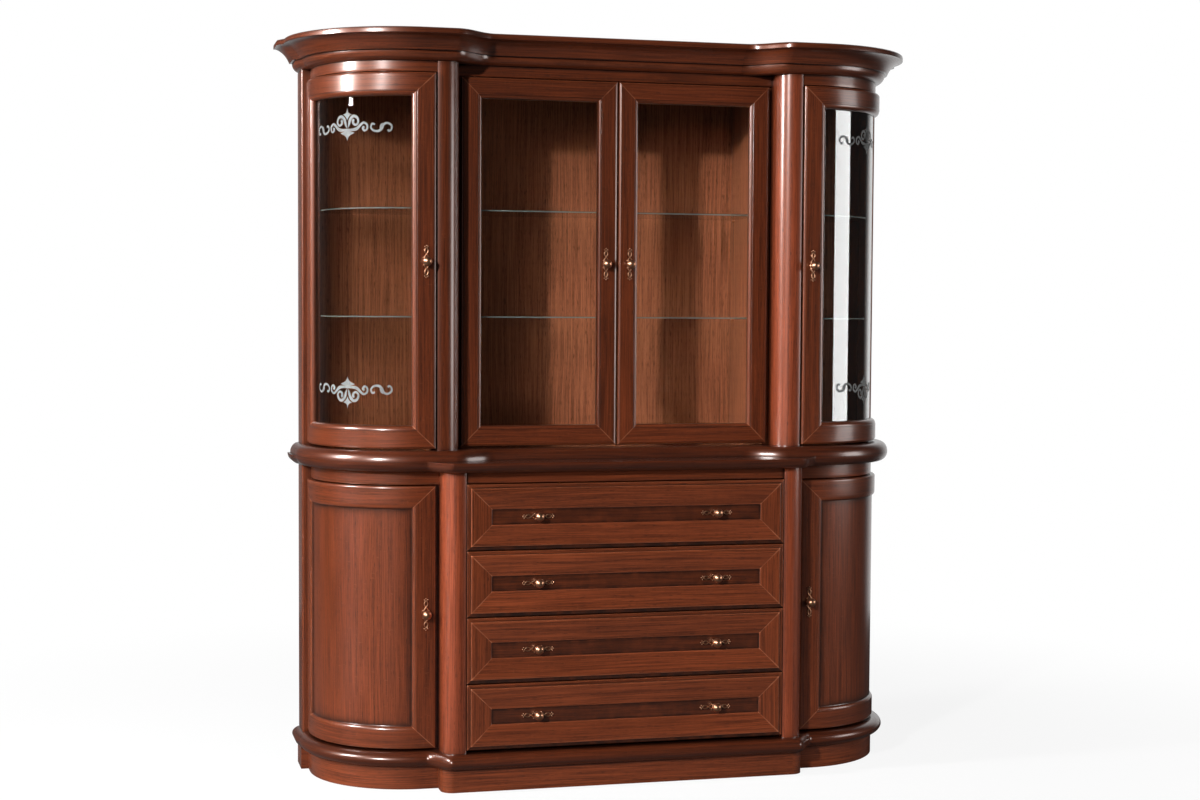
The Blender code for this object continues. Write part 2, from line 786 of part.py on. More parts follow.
def make_drawer_box(name, bottom):
    side = lower_post_inner_x - drawer_box_side_gap
    front = drawer_box_front_depth
    low = (-side, front, bottom + drawer_box_foot)
    high = (side, front + drawer_box_length, bottom + drawer_box_foot + drawer_box_height)
    tray = box(name, low, high, "birch_ply")
    bm = bmesh.new()
    bm.from_mesh(tray.data)
    top = max(bm.faces, key=lambda f: f.calc_center_median().z)
    bmesh.ops.inset_individual(bm, faces=[top], thickness=drawer_box_wall, depth=0, use_even_offset=True)
    inner = bmesh.ops.extrude_face_region(bm, geom=[top])["geom"]
    moved = [item for item in inner if isinstance(item, bmesh.types.BMVert)]
    bmesh.ops.translate(bm, verts=moved, vec=(0, 0, drawer_box_floor - drawer_box_height))
    bmesh.ops.delete(bm, geom=[top], context="FACES")
    bmesh.ops.recalc_face_normals(bm, faces=bm.faces)
    bm.to_mesh(tray.data)
    bm.free()
    return tray


def plate_half_width(share):
    """Half width of a knob's backplate at a share of its half length from the middle."""
    waist = plate_waist_half_width
    middle = (plate_middle_half_width - waist) * math.exp(-((share / plate_middle_share) ** 2))
    from_lobe = (share - plate_lobe_share) / plate_lobe_width_share
    lobe = (plate_lobe_half_width - waist) * math.exp(-(from_lobe**2))
    return (waist + middle + lobe) * math.sqrt(1 - share**plate_end_power)


def make_knob_mesh():
    """A turned ball and neck on a flat backplate, joined into one mesh, standing along +Z."""
    upper_edge = []
    for i in range(1, plate_steps):
        share = 2 * i / plate_steps - 1
        upper_edge.append((plate_length / 2 * share, plate_half_width(abs(share))))
    lower_edge = [(x, -half) for x, half in reversed(upper_edge)]
    points = [(-plate_length / 2, 0), *upper_edge, (plate_length / 2, 0), *lower_edge]
    plate = filled_outline("knob_plate", points, plate_thickness, "aged_brass")
    plate.location.z = plate_thickness / 2
    plate = as_mesh(plate)

    profile = [(0, plate_thickness / 2), (knob_collar_radius, plate_thickness / 2)]
    profile += [(knob_collar_radius, knob_collar_height), (knob_neck_radius, knob_neck_height)]
    start = math.asin(knob_neck_radius / knob_ball_radius)
    centre_z = knob_neck_height + knob_ball_radius * math.cos(start)
    ball_steps = knob_steps // 2
    for i in range(1, ball_steps + 1):
        turn = start + (math.pi - start) * i / ball_steps
        radius = 0 if i == ball_steps else knob_ball_radius * math.sin(turn)
        profile.append((radius, centre_z - knob_ball_radius * math.cos(turn)))
    bm = bmesh.new()
    verts = [bm.verts.new((x, 0, z)) for x, z in reversed(profile)]
    for first, second in zip(verts, verts[1:]):
        bm.edges.new((first, second))
    mesh = bpy.data.meshes.new("knob_turning")
    bm.to_mesh(mesh)
    bm.free()
    turning = add_object("knob_turning", mesh, "aged_brass")
    screw = turning.modifiers.new("turn", "SCREW")
    screw.steps = knob_steps
    screw.render_steps = knob_steps
    screw.use_merge_vertices = True
    screw.merge_threshold = weld_distance

    combine(plate, turning, "UNION")
    bpy.context.view_layer.update()
    graph = bpy.context.evaluated_depsgraph_get()
    joined = bpy.data.meshes.new_from_object(plate.evaluated_get(graph))
    joined.transform(plate.matrix_world)
    joined.name = "knob"
    joined.materials.clear()
    joined.materials.append(materials["aged_brass"])
    joined.shade_smooth()
    joined.set_sharp_from_angle(angle=knob_crease_angle)
    bpy.data.objects.remove(plate, do_unlink=True)
    bpy.data.objects.remove(turning, do_unlink=True)
    return joined


def add_knob(name, mesh, x, depth, z, upright):
    """A knob whose backplate lies on a face that looks to the front."""
    knob = bpy.data.objects.new(name, mesh)
    cabinet.objects.link(knob)
    facing = Matrix.Rotation(math.pi / 2, 4, "X")
    turn = Matrix.Rotation(math.pi / 2, 4, "Z") if upright else Matrix.Identity(4)
    place = Matrix.Translation((x, place_y(depth - contact_gap), z))
    knob.matrix_basis = place @ facing @ turn
    return knob


def joint_empty(name, x, depth, z):
    empty = bpy.data.objects.new(name, None)
    empty.location = (x, place_y(depth), z)
    cabinet.objects.link(empty)
    return empty


def hold(empty, pieces):
    """Parents pieces to the empty on their joint's axis without moving them."""
    bpy.context.view_layer.update()
    for piece in pieces:
        piece.parent = empty
        piece.matrix_parent_inverse = empty.matrix_world.inverted()


def make_drawers(knob_mesh):
    panel_depth = drawer_slope_drop + drawer_panel_step
    for index in range(drawer_count):
        number = drawer_count - index
        bottom = drawer_bottom(index)
        middle = bottom + drawer_height() / 2
        front = make_drawer_front(f"drawer_{number}_front", bottom)
        tray = make_drawer_box(f"drawer_{number}_box", bottom)
        knob_x = lower_post_inner_x - drawer_knob_inset
        left = add_knob(f"drawer_{number}_knob_left", knob_mesh, -knob_x, panel_depth, middle, False)
        right = add_knob(f"drawer_{number}_knob_right", knob_mesh, knob_x, panel_depth, middle, False)
        slide = joint_empty(f"drawer_{number}_slide", 0, 0, middle)
        hold(slide, [front, tray, left, right])


def door_band(inner_radius, outer_radius):
    """Plan of the right-hand curved door, from its meeting edge to its pivot edge."""
    outer = [(end_door_edge_x, end_axis_depth - outer_radius)] + end_arc(outer_radius, 0, math.pi / 2)
    outer.append((end_axis_x + outer_radius, end_door_back_depth))
    inner = [(end_door_edge_x, end_axis_depth - inner_radius)] + end_arc(inner_radius, 0, math.pi / 2)
    inner.append((end_axis_x + inner_radius, end_door_back_depth))
    return outer + inner[::-1]


def window_angles(margin):
    """The angles between which a curved door is open, widened by a margin."""
    start = (end_door_stile_width - margin - (end_axis_x - end_door_edge_x)) / door_outer_radius
    tail = (end_door_stile_width - margin - (end_door_back_depth - end_axis_depth)) / door_outer_radius
    return start, math.pi / 2 - tail


def window_band(inner_radius, outer_radius, margin):
    start, stop = window_angles(margin)
    return end_arc(outer_radius, start, stop) + end_arc(inner_radius, start, stop)[::-1]


def pivot(name, x, depth, low, high):
    """A pivot pin on the joint's axis, between two heights."""
    pin = rod(name, pivot_radius, high - low)
    pin.location = (x, place_y(depth), (low + high) / 2)
    return pin


def make_end_doors(side, turned, knob_mesh):
    """The curved doors of one end: glazed above, with a sunk panel below."""
    sign = 1 if side == "right" else -1
    pivot_x = end_axis_x + door_outer_radius - end_door_pivot_inset
    pivot_depth = end_door_back_depth - end_door_pivot_inset
    face_depth = end_axis_depth - door_outer_radius

    bottom = upper_base_top + door_foot_gap
    top = upper_frieze_bottom - door_head_gap
    name = f"upper_door_{side}"
    band = turned(door_band(door_inner_radius, door_outer_radius))
    frame = as_mesh(slab(f"{name}_frame", band, bottom, top, "stained_oak"))
    low = bottom + door_rail_width
    high = top - door_rail_width
    window = window_band(door_inner_radius - overrun, door_outer_radius + overrun, 0)
    hole = slab(f"{name}_window", turned(window), low, high, "stained_oak")
    combine(frame, as_mesh(hole), "DIFFERENCE")
    seat_radius = door_inner_radius + rebate_depth
    seat = window_band(door_inner_radius - overrun, seat_radius, rebate_width)
    rebate = slab(f"{name}_rebate", turned(seat), low - rebate_width, high + rebate_width, "stained_oak")
    combine(frame, as_mesh(rebate), "DIFFERENCE")
    pin_low = upper_base_top + contact_gap
    pin = pivot(f"{name}_pivot", sign * pivot_x, pivot_depth, pin_low, bottom + pivot_root)
    combine(frame, pin, "UNION")
    pane_outer = seat_radius - contact_gap
    pane_margin = rebate_width - contact_gap
    pane = window_band(pane_outer - pane_thickness, pane_outer, pane_margin)
    glass = slab(f"{name}_glass", turned(pane), low - pane_margin, high + pane_margin, "clear_glass")
    middle = (bottom + top) / 2
    knob_x = end_door_edge_x + end_door_knob_inset
    knob = add_knob(f"{name}_knob", knob_mesh, sign * knob_x, face_depth, middle, True)
    hinge = joint_empty(f"{name}_hinge", sign * pivot_x, pivot_depth, middle)
    hold(hinge, [frame, glass, knob])

    bottom = base_top + door_foot_gap
    top = lower_frieze_bottom - door_head_gap
    name = f"lower_door_{side}"
    leaf = as_mesh(slab(f"{name}_leaf", band, bottom, top, "stained_oak"))
    sunk = window_band(door_outer_radius - lower_panel_sink, door_outer_radius + overrun, 0)
    low = bottom + door_rail_width
    high = top - door_rail_width
    recess = slab(f"{name}_sunk", turned(sunk), low, high, "stained_oak")
    combine(leaf, as_mesh(recess), "DIFFERENCE")
    pin_low = base_top + contact_gap
    pin = pivot(f"{name}_pivot", sign * pivot_x, pivot_depth, pin_low, bottom + pivot_root)
    combine(leaf, pin, "UNION")
    middle = (bottom + top) / 2
    knob_z = middle + lower_door_knob_rise
    knob = add_knob(f"{name}_knob", knob_mesh, sign * knob_x, face_depth, knob_z, True)
    hinge = joint_empty(f"{name}_hinge", sign * pivot_x, pivot_depth, middle)
    hold(hinge, [leaf, knob])


def make_centre_door(side, knob_mesh):
    """A flat glazed door of the middle bay, its frame rebated for the pane."""
    sign = 1 if side == "right" else -1
    bottom = upper_base_top + door_foot_gap
    top = upper_frieze_bottom - door_head_gap
    front = centre_door_face_depth
    back = front + centre_door_thickness
    xs = sorted((sign * centre_door_meeting_gap / 2, sign * centre_door_edge_x))
    name = f"centre_door_{side}"
    frame = box(f"{name}_frame", (xs[0], front, bottom), (xs[1], back, top), "stained_oak")
    wide = centre_door_frame_width
    low = (xs[0] + wide, front - overrun, bottom + wide)
    high = (xs[1] - wide, back + overrun, top - wide)
    combine(frame, box(f"{name}_window", low, high, "stained_oak"), "DIFFERENCE")
    seat_depth = back - rebate_depth
    margin = Vector((rebate_width, 0, rebate_width))
    seat_low = Vector((low[0], seat_depth, low[2])) - margin
    seat_high = Vector(high) + margin
    combine(frame, box(f"{name}_rebate", seat_low, seat_high, "stained_oak"), "DIFFERENCE")
    pivot_x = centre_door_edge_x - centre_door_pivot_inset
    pivot_depth = front + centre_door_pivot_inset
    pin_low = upper_base_top + contact_gap
    pin = pivot(f"{name}_pivot", sign * pivot_x, pivot_depth, pin_low, bottom + pivot_root)
    combine(frame, pin, "UNION")
    reach = margin - Vector((contact_gap, 0, contact_gap))
    pane_front = seat_depth + contact_gap
    pane_low = Vector((low[0], pane_front, low[2])) - reach
    pane_high = Vector((high[0], pane_front + pane_thickness, high[2])) + reach
    glass = box(f"{name}_glass", pane_low, pane_high, "clear_glass")
    knob_x = centre_door_meeting_gap / 2 + centre_door_knob_inset
    middle = (bottom + top) / 2
    knob = add_knob(f"{name}_knob", knob_mesh, sign * knob_x, front, middle, True)
    hinge = joint_empty(f"{name}_hinge", sign * pivot_x, pivot_depth, middle)
    hold(hinge, [frame, glass, knob])


clear_scene()
cabinet = new_collection("display_cabinet")
cutters = new_collection("cutters")
materials = {name: make_finish(name) for name in finishes}
make_base()
make_counter()
make_cornice()
make_heads()
make_backs()
make_shelves()
ball_knob = make_knob_mesh()
make_drawers(ball_knob)
for end, turn_over in (("right", list), ("left", mirrored)):
    make_posts(end, turn_over)
    make_partitions(end, turn_over)
    make_end_doors(end, turn_over, ball_knob)
    make_centre_door(end, ball_knob)
bpy.context.view_layer.update()
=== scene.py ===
import bmesh
import bpy
import numpy as np
from mathutils import Matrix, Vector


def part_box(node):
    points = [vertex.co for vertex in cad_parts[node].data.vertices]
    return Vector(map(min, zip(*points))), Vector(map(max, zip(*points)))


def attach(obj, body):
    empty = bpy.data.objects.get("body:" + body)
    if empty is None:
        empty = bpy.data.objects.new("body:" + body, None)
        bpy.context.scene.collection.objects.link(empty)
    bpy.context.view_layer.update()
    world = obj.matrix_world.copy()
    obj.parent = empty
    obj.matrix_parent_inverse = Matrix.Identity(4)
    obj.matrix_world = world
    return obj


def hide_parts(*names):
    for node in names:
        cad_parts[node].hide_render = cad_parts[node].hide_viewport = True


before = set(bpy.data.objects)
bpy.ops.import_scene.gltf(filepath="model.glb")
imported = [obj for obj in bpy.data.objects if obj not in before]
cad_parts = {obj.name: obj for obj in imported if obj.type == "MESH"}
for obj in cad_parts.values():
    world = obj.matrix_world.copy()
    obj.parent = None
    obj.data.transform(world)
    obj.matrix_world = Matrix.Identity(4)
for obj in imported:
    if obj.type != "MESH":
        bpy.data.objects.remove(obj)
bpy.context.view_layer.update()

# Plinth: a low frame of oak boards, 67 mm high, that the whole cabinet stands on. It follows the
# plan of the cabinet, with a rounded block glued on under each corner post and a square one under
# each rear post. It is of the same light wood as the drawers. Its foot is painted a little darker,
# and its top edge under the base board much darker: painted shade.
end_axis_x, end_axis_y = 0.585, 0.134
end_radius = 0.282
rear_post_y, back_y = 0.169, 0.269
post_round = 0.035
plinth_front_y, plinth_top = -0.228, 0.0667
plinth_stand, plinth_wall = 0.009, 0.018
block_outer_x, rear_block_outer_x = 0.5415, 0.898
board_draw = np.random.default_rng(11)


def quarter_turn(centre_x, centre_y, radius, start=0.0, steps=12):
    """Plan points of a quarter circle: the centre plus radius times the sine and minus the cosine
    of equal steps of angle, so that angle nought looks straight ahead."""
    turn = start + np.linspace(0, np.pi / 2, steps + 1)
    return np.column_stack([centre_x + radius * np.sin(turn), centre_y - radius * np.cos(turn)])


def both_sides(half):
    """A closed plan from its right half: the same points again in reverse with x turned over."""
    return np.concatenate([half, half[::-1] * (-1, 1)])


def distances(points, closed=False):
    """How far each point lies along its line: the running sum of the steps between points."""
    line = np.concatenate([points, points[:1]]) if closed else np.asarray(points)
    return np.concatenate([[0], np.cumsum(np.linalg.norm(np.diff(line, axis=0), axis=1))])


def carried(plan_at, profile):
    """A moulding's skin: column by column, the plan at that column's overhang, at its height."""
    plans = np.stack([plan_at(out) for out, z in profile], 1)
    heights = np.broadcast_to(np.array(profile)[:, 1], plans.shape[:2])
    return np.concatenate([plans, heights[..., None]], 2)


def surface(points, along, across, patina_shade_and_highlight=0.0, ring=False, tube=False, capped=False):
    """A grid of points as four-sided faces. Rows follow the grain, at the distances along, and
    columns cross it, at the distances across. A ring joins its last row to its first and a tube
    its last column to its first, and each then has one distance more than it has points. Patina
    is above nought where glaze and painted shade darken it, and below nought where a painted
    highlight lightens an edge."""
    rows, columns = points.shape[:2]
    index = np.arange(rows * columns).reshape(rows, columns)
    index = np.concatenate([index, index[:1]]) if ring else index
    index = np.concatenate([index, index[:, :1]], 1) if tube else index
    u, v = (along, across) if np.ndim(along) == 2 else np.meshgrid(along, across, indexing="ij")
    grain = np.stack(np.broadcast_arrays(u, v), -1)
    square = (slice(None, -1), slice(None, -1)), (slice(1, None), slice(None, -1))
    square += (slice(1, None), slice(1, None)), (slice(None, -1), slice(1, None))
    corners = [np.stack([index[s] for s in square], -1).reshape(-1)]
    places = [np.stack([grain[s] for s in square], -2).reshape(-1, 2)]
    counts = [np.full(len(corners[0]) // 4, 4)]
    flat = points.reshape(-1, 3)
    ends = ()
    if capped:
        ends = (index[:-1, 0], index[:-1, -1]) if ring else (index[0, :-1], index[-1, :-1])
    for end in ends:
        widest = np.sort(np.argsort(np.ptp(flat[end], axis=0))[-2:])
        corners.append(end)
        places.append(flat[end][:, widest])
        counts.append(np.array([len(end)]))
    shade = np.array(np.broadcast_to(patina_shade_and_highlight, (rows, columns))).reshape(-1)
    return flat, np.concatenate(corners), np.concatenate(places), np.concatenate(counts), shade


def make_piece(name, body, material, surfaces, replaced=()):
    """Joins surfaces into one closed mesh. Each surface is a board cut from its own place in the
    log, so its grain is shifted at random from a fixed seed."""
    starts = np.cumsum([0] + [len(s[0]) for s in surfaces])
    corners = np.concatenate([s[1] + start for s, start in zip(surfaces, starts)])
    grain = np.concatenate([s[2] + board_draw.uniform(0, 30, 2) for s in surfaces])
    counts = np.concatenate([s[3] for s in surfaces])
    mesh = bpy.data.meshes.new(name)
    mesh.vertices.add(starts[-1])
    mesh.vertices.foreach_set("co", np.concatenate([s[0] for s in surfaces]).reshape(-1))
    mesh.loops.add(len(corners))
    mesh.loops.foreach_set("vertex_index", corners)
    mesh.polygons.add(len(counts))
    mesh.polygons.foreach_set("loop_start", np.cumsum(counts) - counts)
    mesh.update(calc_edges=True)
    mesh.uv_layers.new(name="grain").uv.foreach_set("vector", grain.reshape(-1))
    shades = np.concatenate([s[4] for s in surfaces])
    # the patina mark carries glaze and painted shade above nought, and a painted highlight below it
    mesh.attributes.new("patina_shade_and_highlight", "FLOAT", "POINT").data.foreach_set("value", shades)
    bm = bmesh.new()
    bm.from_mesh(mesh)
    bmesh.ops.remove_doubles(bm, verts=bm.verts, dist=0.00002)
    bmesh.ops.recalc_face_normals(bm, faces=bm.faces)
    bm.to_mesh(mesh)
    bm.free()
    mesh.shade_smooth()
    mesh.set_sharp_from_angle(angle=0.6)
    mesh.materials.append(material)
    piece = bpy.data.objects.new(name, mesh)
    bpy.context.scene.collection.objects.link(piece)
    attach(piece, body)
    if replaced:
        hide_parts(*replaced)


def feed(tree, node, feeds):
    """Sets or links each input of a shader node by its name or number."""
    for key, value in feeds.items():
        if isinstance(value, bpy.types.NodeSocket):
            tree.links.new(value, node.inputs[key])
        else:
            node.inputs[key].default_value = value


def add_node(tree, kind, feeds, **settings):
    """Adds a shader node with its settings and feeds its inputs."""
    node = tree.nodes.new("ShaderNode" + kind)
    for key, value in settings.items():
        setattr(node, key, value)
    feed(tree, node, feeds)
    return node


def new_group(name, takes, gives):
    """An empty shader node group with its named inputs and outputs."""
    tree = bpy.data.node_groups.new(name, "ShaderNodeTree")
    for label, kind in takes:
        tree.interface.new_socket(label, in_out="INPUT", socket_type="NodeSocket" + kind)
    for label, kind in gives:
        tree.interface.new_socket(label, in_out="OUTPUT", socket_type="NodeSocket" + kind)
    return tree, tree.nodes.new("NodeGroupInput").outputs, tree.nodes.new("NodeGroupOutput").inputs


def stretched_noise(tree, place, scale, detail, shift=0.0):
    """Noise drawn out along the grain: scale gives its cells to the metre along and across."""
    laid = add_node(tree, "Mapping", {"Vector": place, "Scale": (*scale, 1.0), "Location": (0, 0, shift)})
    noise = add_node(tree, "TexNoise", {"Vector": laid.outputs[0], "Scale": 1.0, "Detail": detail})
    return noise.outputs[0]


def object_noise(tree, scale, detail):
    """Noise that runs through the whole piece, with scale cells to the metre."""
    place = add_node(tree, "TexCoord", {}).outputs["Object"]
    return add_node(tree, "TexNoise", {"Vector": place, "Scale": scale, "Detail": detail}).outputs[0]


def ramp(tree, value, low, high, out_low=0.0, out_high=1.0):
    """An eased change from out_low to out_high while the value goes from low to high."""
    feeds = {"Value": value, "From Min": low, "From Max": high, "To Min": out_low, "To Max": out_high}
    return add_node(tree, "MapRange", feeds, interpolation_type="SMOOTHSTEP").outputs[0]


def maths(tree, operation, first, second):
    return add_node(tree, "Math", {0: first, 1: second}, operation=operation).outputs[0]


def times(tree, first, second):
    return maths(tree, "MULTIPLY", first, second)


def blended(tree, share, first, second, way="MIX"):
    """The first colour, giving way to the second by the share."""
    feeds = {0: share, 6: first, 7: second}
    return add_node(tree, "Mix", feeds, data_type="RGBA", blend_type=way).outputs[2]


def new_material(name):
    """A new material with its node tree and its main shader."""
    material = bpy.data.materials.new(name)
    material.use_nodes = True
    tree = material.node_tree
    return material, tree, tree.nodes["Principled BSDF"]


# grain of oak: year rings and finer fibres as bands drawn out along the board, pores as short dark
# dashes that crowd in the early wood, and the pale flecks that cross a quarter-sawn board
takes = (("Place", "Vector"), ("Late wood", "Color"), ("Early wood", "Color"))
takes += (("Pores", "Float"), ("Flecks", "Float"))
gives = (("Colour", "Color"), ("Roughness", "Float"), ("Height", "Float"))
oak_grain, taken, given = new_group("oak_grain", takes, gives)
tree = oak_grain
pore_stain, fleck_stain = (0.007, 0.0022, 0.0012, 1), (0.18, 0.052, 0.020, 1)
sway = stretched_noise(tree, taken["Place"], (1.1, 5.0), 2.0)
swaying = {0: sway, 1: (0, 0.035, 0), 2: taken["Place"]}
swayed = add_node(tree, "VectorMath", swaying, operation="MULTIPLY_ADD").outputs[0]
rings = stretched_noise(tree, swayed, (0.9, 110), 4.0)
fibres = stretched_noise(tree, swayed, (6, 330), 3.0, 3.0)
dashes = stretched_noise(tree, swayed, (42, 760), 1.0, 5.0)
tones = stretched_noise(tree, taken["Place"], (1.3, 3.5), 2.0, 7.0)
specks = stretched_noise(tree, swayed, (230, 52), 1.0, 9.0)
ring_share = times(tree, ramp(tree, rings, 0.30, 0.70), 0.35)
fibre_share = times(tree, ramp(tree, fibres, 0.32, 0.68), 0.65)
figure = maths(tree, "ADD", ring_share, fibre_share)
crowding = ramp(tree, rings, 0.62, 0.38, 0.25, 1.0)
pores = times(tree, times(tree, ramp(tree, dashes, 0.56, 0.66), crowding), taken["Pores"])
flecks = times(tree, ramp(tree, specks, 0.66, 0.74), taken["Flecks"])
depth = ramp(tree, tones, 0.3, 0.7, 0.86, 1.1)
deep = add_node(tree, "CombineColor", {0: depth, 1: depth, 2: depth}).outputs[0]
wood = blended(tree, figure, taken["Early wood"], taken["Late wood"])
wood = blended(tree, 1.0, wood, deep, "MULTIPLY")
wood = blended(tree, times(tree, pores, 0.75), wood, pore_stain)
wood = blended(tree, times(tree, flecks, 0.45), wood, fleck_stain)
tree.links.new(wood, given["Colour"])
tree.links.new(ramp(tree, pores, 0.0, 1.0, 0.38, 0.52), given["Roughness"])
tree.links.new(maths(tree, "SUBTRACT", times(tree, fibres, 0.25), pores), given["Height"])

# glaze over the stain, and painted light. Where the mark is above nought the colour darkens: partly
# the dark glaze an old finish keeps in its hollows, partly painted shade in corners and under
# edges. Where it is below nought a painted highlight lightens rounded edges and mitres.
takes = gives = (("Colour", "Color"),)
glaze_shade_and_highlight, taken, given = new_group("glaze_shade_and_highlight", takes, gives)
tree = glaze_shade_and_highlight
glaze_and_shade_colour, painted_highlight_colour = (0.009, 0.0026, 0.0013, 1), (0.34, 0.115, 0.055, 1)
shade_and_highlight_mask = add_node(tree, "Attribute", {}, attribute_name="patina_shade_and_highlight").outputs["Fac"]
cloud = object_noise(tree, 38.0, 3.0)
dark = times(tree, ramp(tree, shade_and_highlight_mask, 0.0, 1.0), ramp(tree, cloud, 0.25, 0.7, 0.7, 1.0))
# below nought the mark lightens the colour: a painted highlight on rounded edges and mitres
light = times(tree, ramp(tree, shade_and_highlight_mask, 0.0, -1.0), ramp(tree, cloud, 0.3, 0.6, 0.4, 1.0))
glazed_and_shaded = blended(tree, dark, taken["Colour"], glaze_and_shade_colour)
tree.links.new(blended(tree, light, glazed_and_shaded, painted_highlight_colour), given["Colour"])


def lacquered_oak(name, late, early, flecks, pores=0.9, coat=1.0, gleam=0.5, level_grain=None):
    """Stained oak under satin lacquer, with the stains of its late and early wood. The grain
    follows the piece's own map, or on a board that has none its object coordinates, turned so
    that its level or upright grain runs along x."""
    material, tree, shader = new_material(name)
    if level_grain is None:
        place = add_node(tree, "UVMap", {}, uv_map="grain").outputs[0]
    else:
        object_place = add_node(tree, "TexCoord", {}).outputs["Object"]
        x, y, z = add_node(tree, "SeparateXYZ", {0: object_place}).outputs
        along, first, second = (x, y, z) if level_grain else (z, x, y)
        place = add_node(tree, "CombineXYZ", {0: along, 1: maths(tree, "ADD", first, second)}).outputs[0]
    stains = {"Place": place, "Late wood": (*late, 1), "Early wood": (*early, 1)}
    shares = {"Pores": pores, "Flecks": flecks}
    grain = add_node(tree, "Group", {**stains, **shares}, node_tree=oak_grain).outputs
    glazed_and_shaded = add_node(tree, "Group", {"Colour": grain["Colour"]}, node_tree=glaze_shade_and_highlight).outputs[0]
    bump = add_node(tree, "Bump", {"Strength": 0.25, "Distance": 0.0003, "Height": grain["Height"]})
    feed(tree, shader, {
        "Base Color": glazed_and_shaded, "Roughness": grain["Roughness"], "Normal": bump.outputs["Normal"],
        "Specular Tint": (1.0, 0.50, 0.36, 1), "Specular IOR Level": gleam,
        "Coat Weight": coat, "Coat IOR": 1.6, "Coat Roughness": 0.22,
    })
    return material


def plinth_plan(inset):
    """Plan of the plinth, drawn in by inset: middle board, round block, curved end, square block."""
    front_y, block_x = plinth_front_y + inset, block_outer_x - inset
    radius, rear_x = end_radius + plinth_stand - inset, rear_block_outer_x - inset
    corner = quarter_turn(block_x - post_round + inset, front_y + post_round - inset, post_round - inset)
    half = [corner, [(block_x, end_axis_y - radius)], quarter_turn(end_axis_x, end_axis_y, radius, 0, 64)]
    half += [[(end_axis_x + radius, rear_post_y + inset), (rear_x, rear_post_y + inset)]]
    half += [[(rear_x, back_y - inset)]]
    return both_sides(np.concatenate(half))


drawer_oak = lacquered_oak("drawer_oak", (0.190, 0.0400, 0.0125), (0.056, 0.0115, 0.0035), 0.4)
plinth_profile = [(0, 0.0), (0, 0.012), (0, 0.055), (0, plinth_top)]
plinth_profile += [(plinth_wall, plinth_top), (plinth_wall, 0.0)]
plinth_shade = [0.35, 0.05, 0.05, 0.8, 0.0, 0.0]
plinth_skin = surface(
    carried(plinth_plan, plinth_profile), distances(plinth_plan(0), True),
    distances(plinth_profile, True), plinth_shade, ring=True, tube=True,
)
make_piece("plinth_frame", "carcass", drawer_oak, [plinth_skin], ["plinth"])

# Base board: a solid oak board on the plinth, 44 mm thick, with a full half-round nose. It is of
# darker wood, as are the two boards at the waist. Its front edge swings out over the corner posts'
# blocks, and it stands out once more past the rear posts.
middle_y = -0.219
lower_swing = (0.515, 0.583)
base_bottom, base_half, base_reach = 0.067, 0.022, 0.032
board_oak = lacquered_oak("board_oak", (0.085, 0.0165, 0.0048), (0.026, 0.0050, 0.0015), 0.3)


def swung_plan(start_x, stop_x, front_y, rear_step):
    """How a moulded board's plan follows from its overhang. From the middle its front edge eases
    by half a cosine wave to the end's line, then follows the quarter circle."""
    def plan_at(overhang):
        share = np.linspace(0, 1, 33)
        swing = end_axis_y - end_radius - front_y
        edge_y = front_y + swing * (1 - np.cos(np.pi * share)) / 2 - overhang
        edge = np.column_stack([start_x + (stop_x - start_x) * share, edge_y])
        arc = quarter_turn(end_axis_x, end_axis_y, end_radius + overhang, 0, 72)
        rear_x = end_axis_x + end_radius + overhang + rear_step
        return both_sides(np.concatenate([edge, arc, [(rear_x, rear_post_y), (rear_x, back_y)]]))
    return plan_at


def moulded_board(name, replaced, plan_at, profile, shade):
    """A board whose moulded edge runs all round: the edge as a skin, closed above and below."""
    plan = plan_at(max(out for out, z in profile))
    along, across = distances(plan, True), distances(profile)
    skin = surface(carried(plan_at, profile), along, across, shade, ring=True, capped=True)
    make_piece(name, "carcass", board_oak, [skin], [replaced])


def rounded(root, reach, bottom, rise, start=0.0, stop=np.pi / 2, steps=12):
    """A rounded profile, by equal steps of angle: the root plus the reach times the sine, at the
    bottom plus the rise times one minus the cosine."""
    turn = np.linspace(start, stop, steps + 1)
    return [*zip(root + reach * np.sin(turn), bottom + rise * (1 - np.cos(turn)))]


nose = rounded(plinth_stand, base_reach, base_bottom, base_half, 0, np.pi, 24)
# painted shade: dark on the nose's underside over the plinth, fading to nought round its front, and darker
# again towards the back of its top
nose_shade = [*np.linspace(0.9, 0.1, 13), *np.linspace(0.1, 0.0, 6), *np.linspace(0.1, 0.75, 6)]
base_plan = swung_plan(*lower_swing, middle_y, rear_step=0.007)
moulded_board("base_moulding", "base_board", base_plan, nose, nose_shade)

# Corner posts and rear posts: upright solid oak, the front ones 64 and 68 mm wide and planed to a
# round of 42 and 50 mm radius. A strip on the back of each front post stops the curved door. The
# lower posts stand on the base board and carry the countertop, the upper ones the cornice.
face_y, upper_face_y = -0.231, -0.156
touch_gap = 0.0003
lower_levels, upper_levels = (0.1113, 0.9107), (0.9693, 2.0657)
lower_post = {"inner_x": 0.4735, "outer_x": 0.5375, "back_y": -0.119, "radius": 0.042}
upper_post = {"inner_x": 0.4768, "outer_x": 0.5445, "back_y": -0.041, "radius": 0.050}
inner_flank_y, outer_flank_y = -0.2210, -0.150
stop_outer_x, stop_front_y, stop_back_y = 0.5605, -0.1332, -0.119
rear_inner_x, rear_outer_x, rear_round = 0.855, 0.894, 0.006
sides = (("left", -1), ("right", 1))

# three of the four corner posts get a lighter copy of the oak stain: painted light standing in for
# the lamplight on their rounds. The upper left one keeps the stain of the rear posts and doors.
lit_post_oak = lacquered_oak("lit_post_oak", (0.240, 0.0480, 0.0175), (0.090, 0.0165, 0.0058), 0.3)
solid_oak = lacquered_oak("solid_oak", (0.148, 0.0295, 0.0085), (0.042, 0.0082, 0.0023), 0.6)


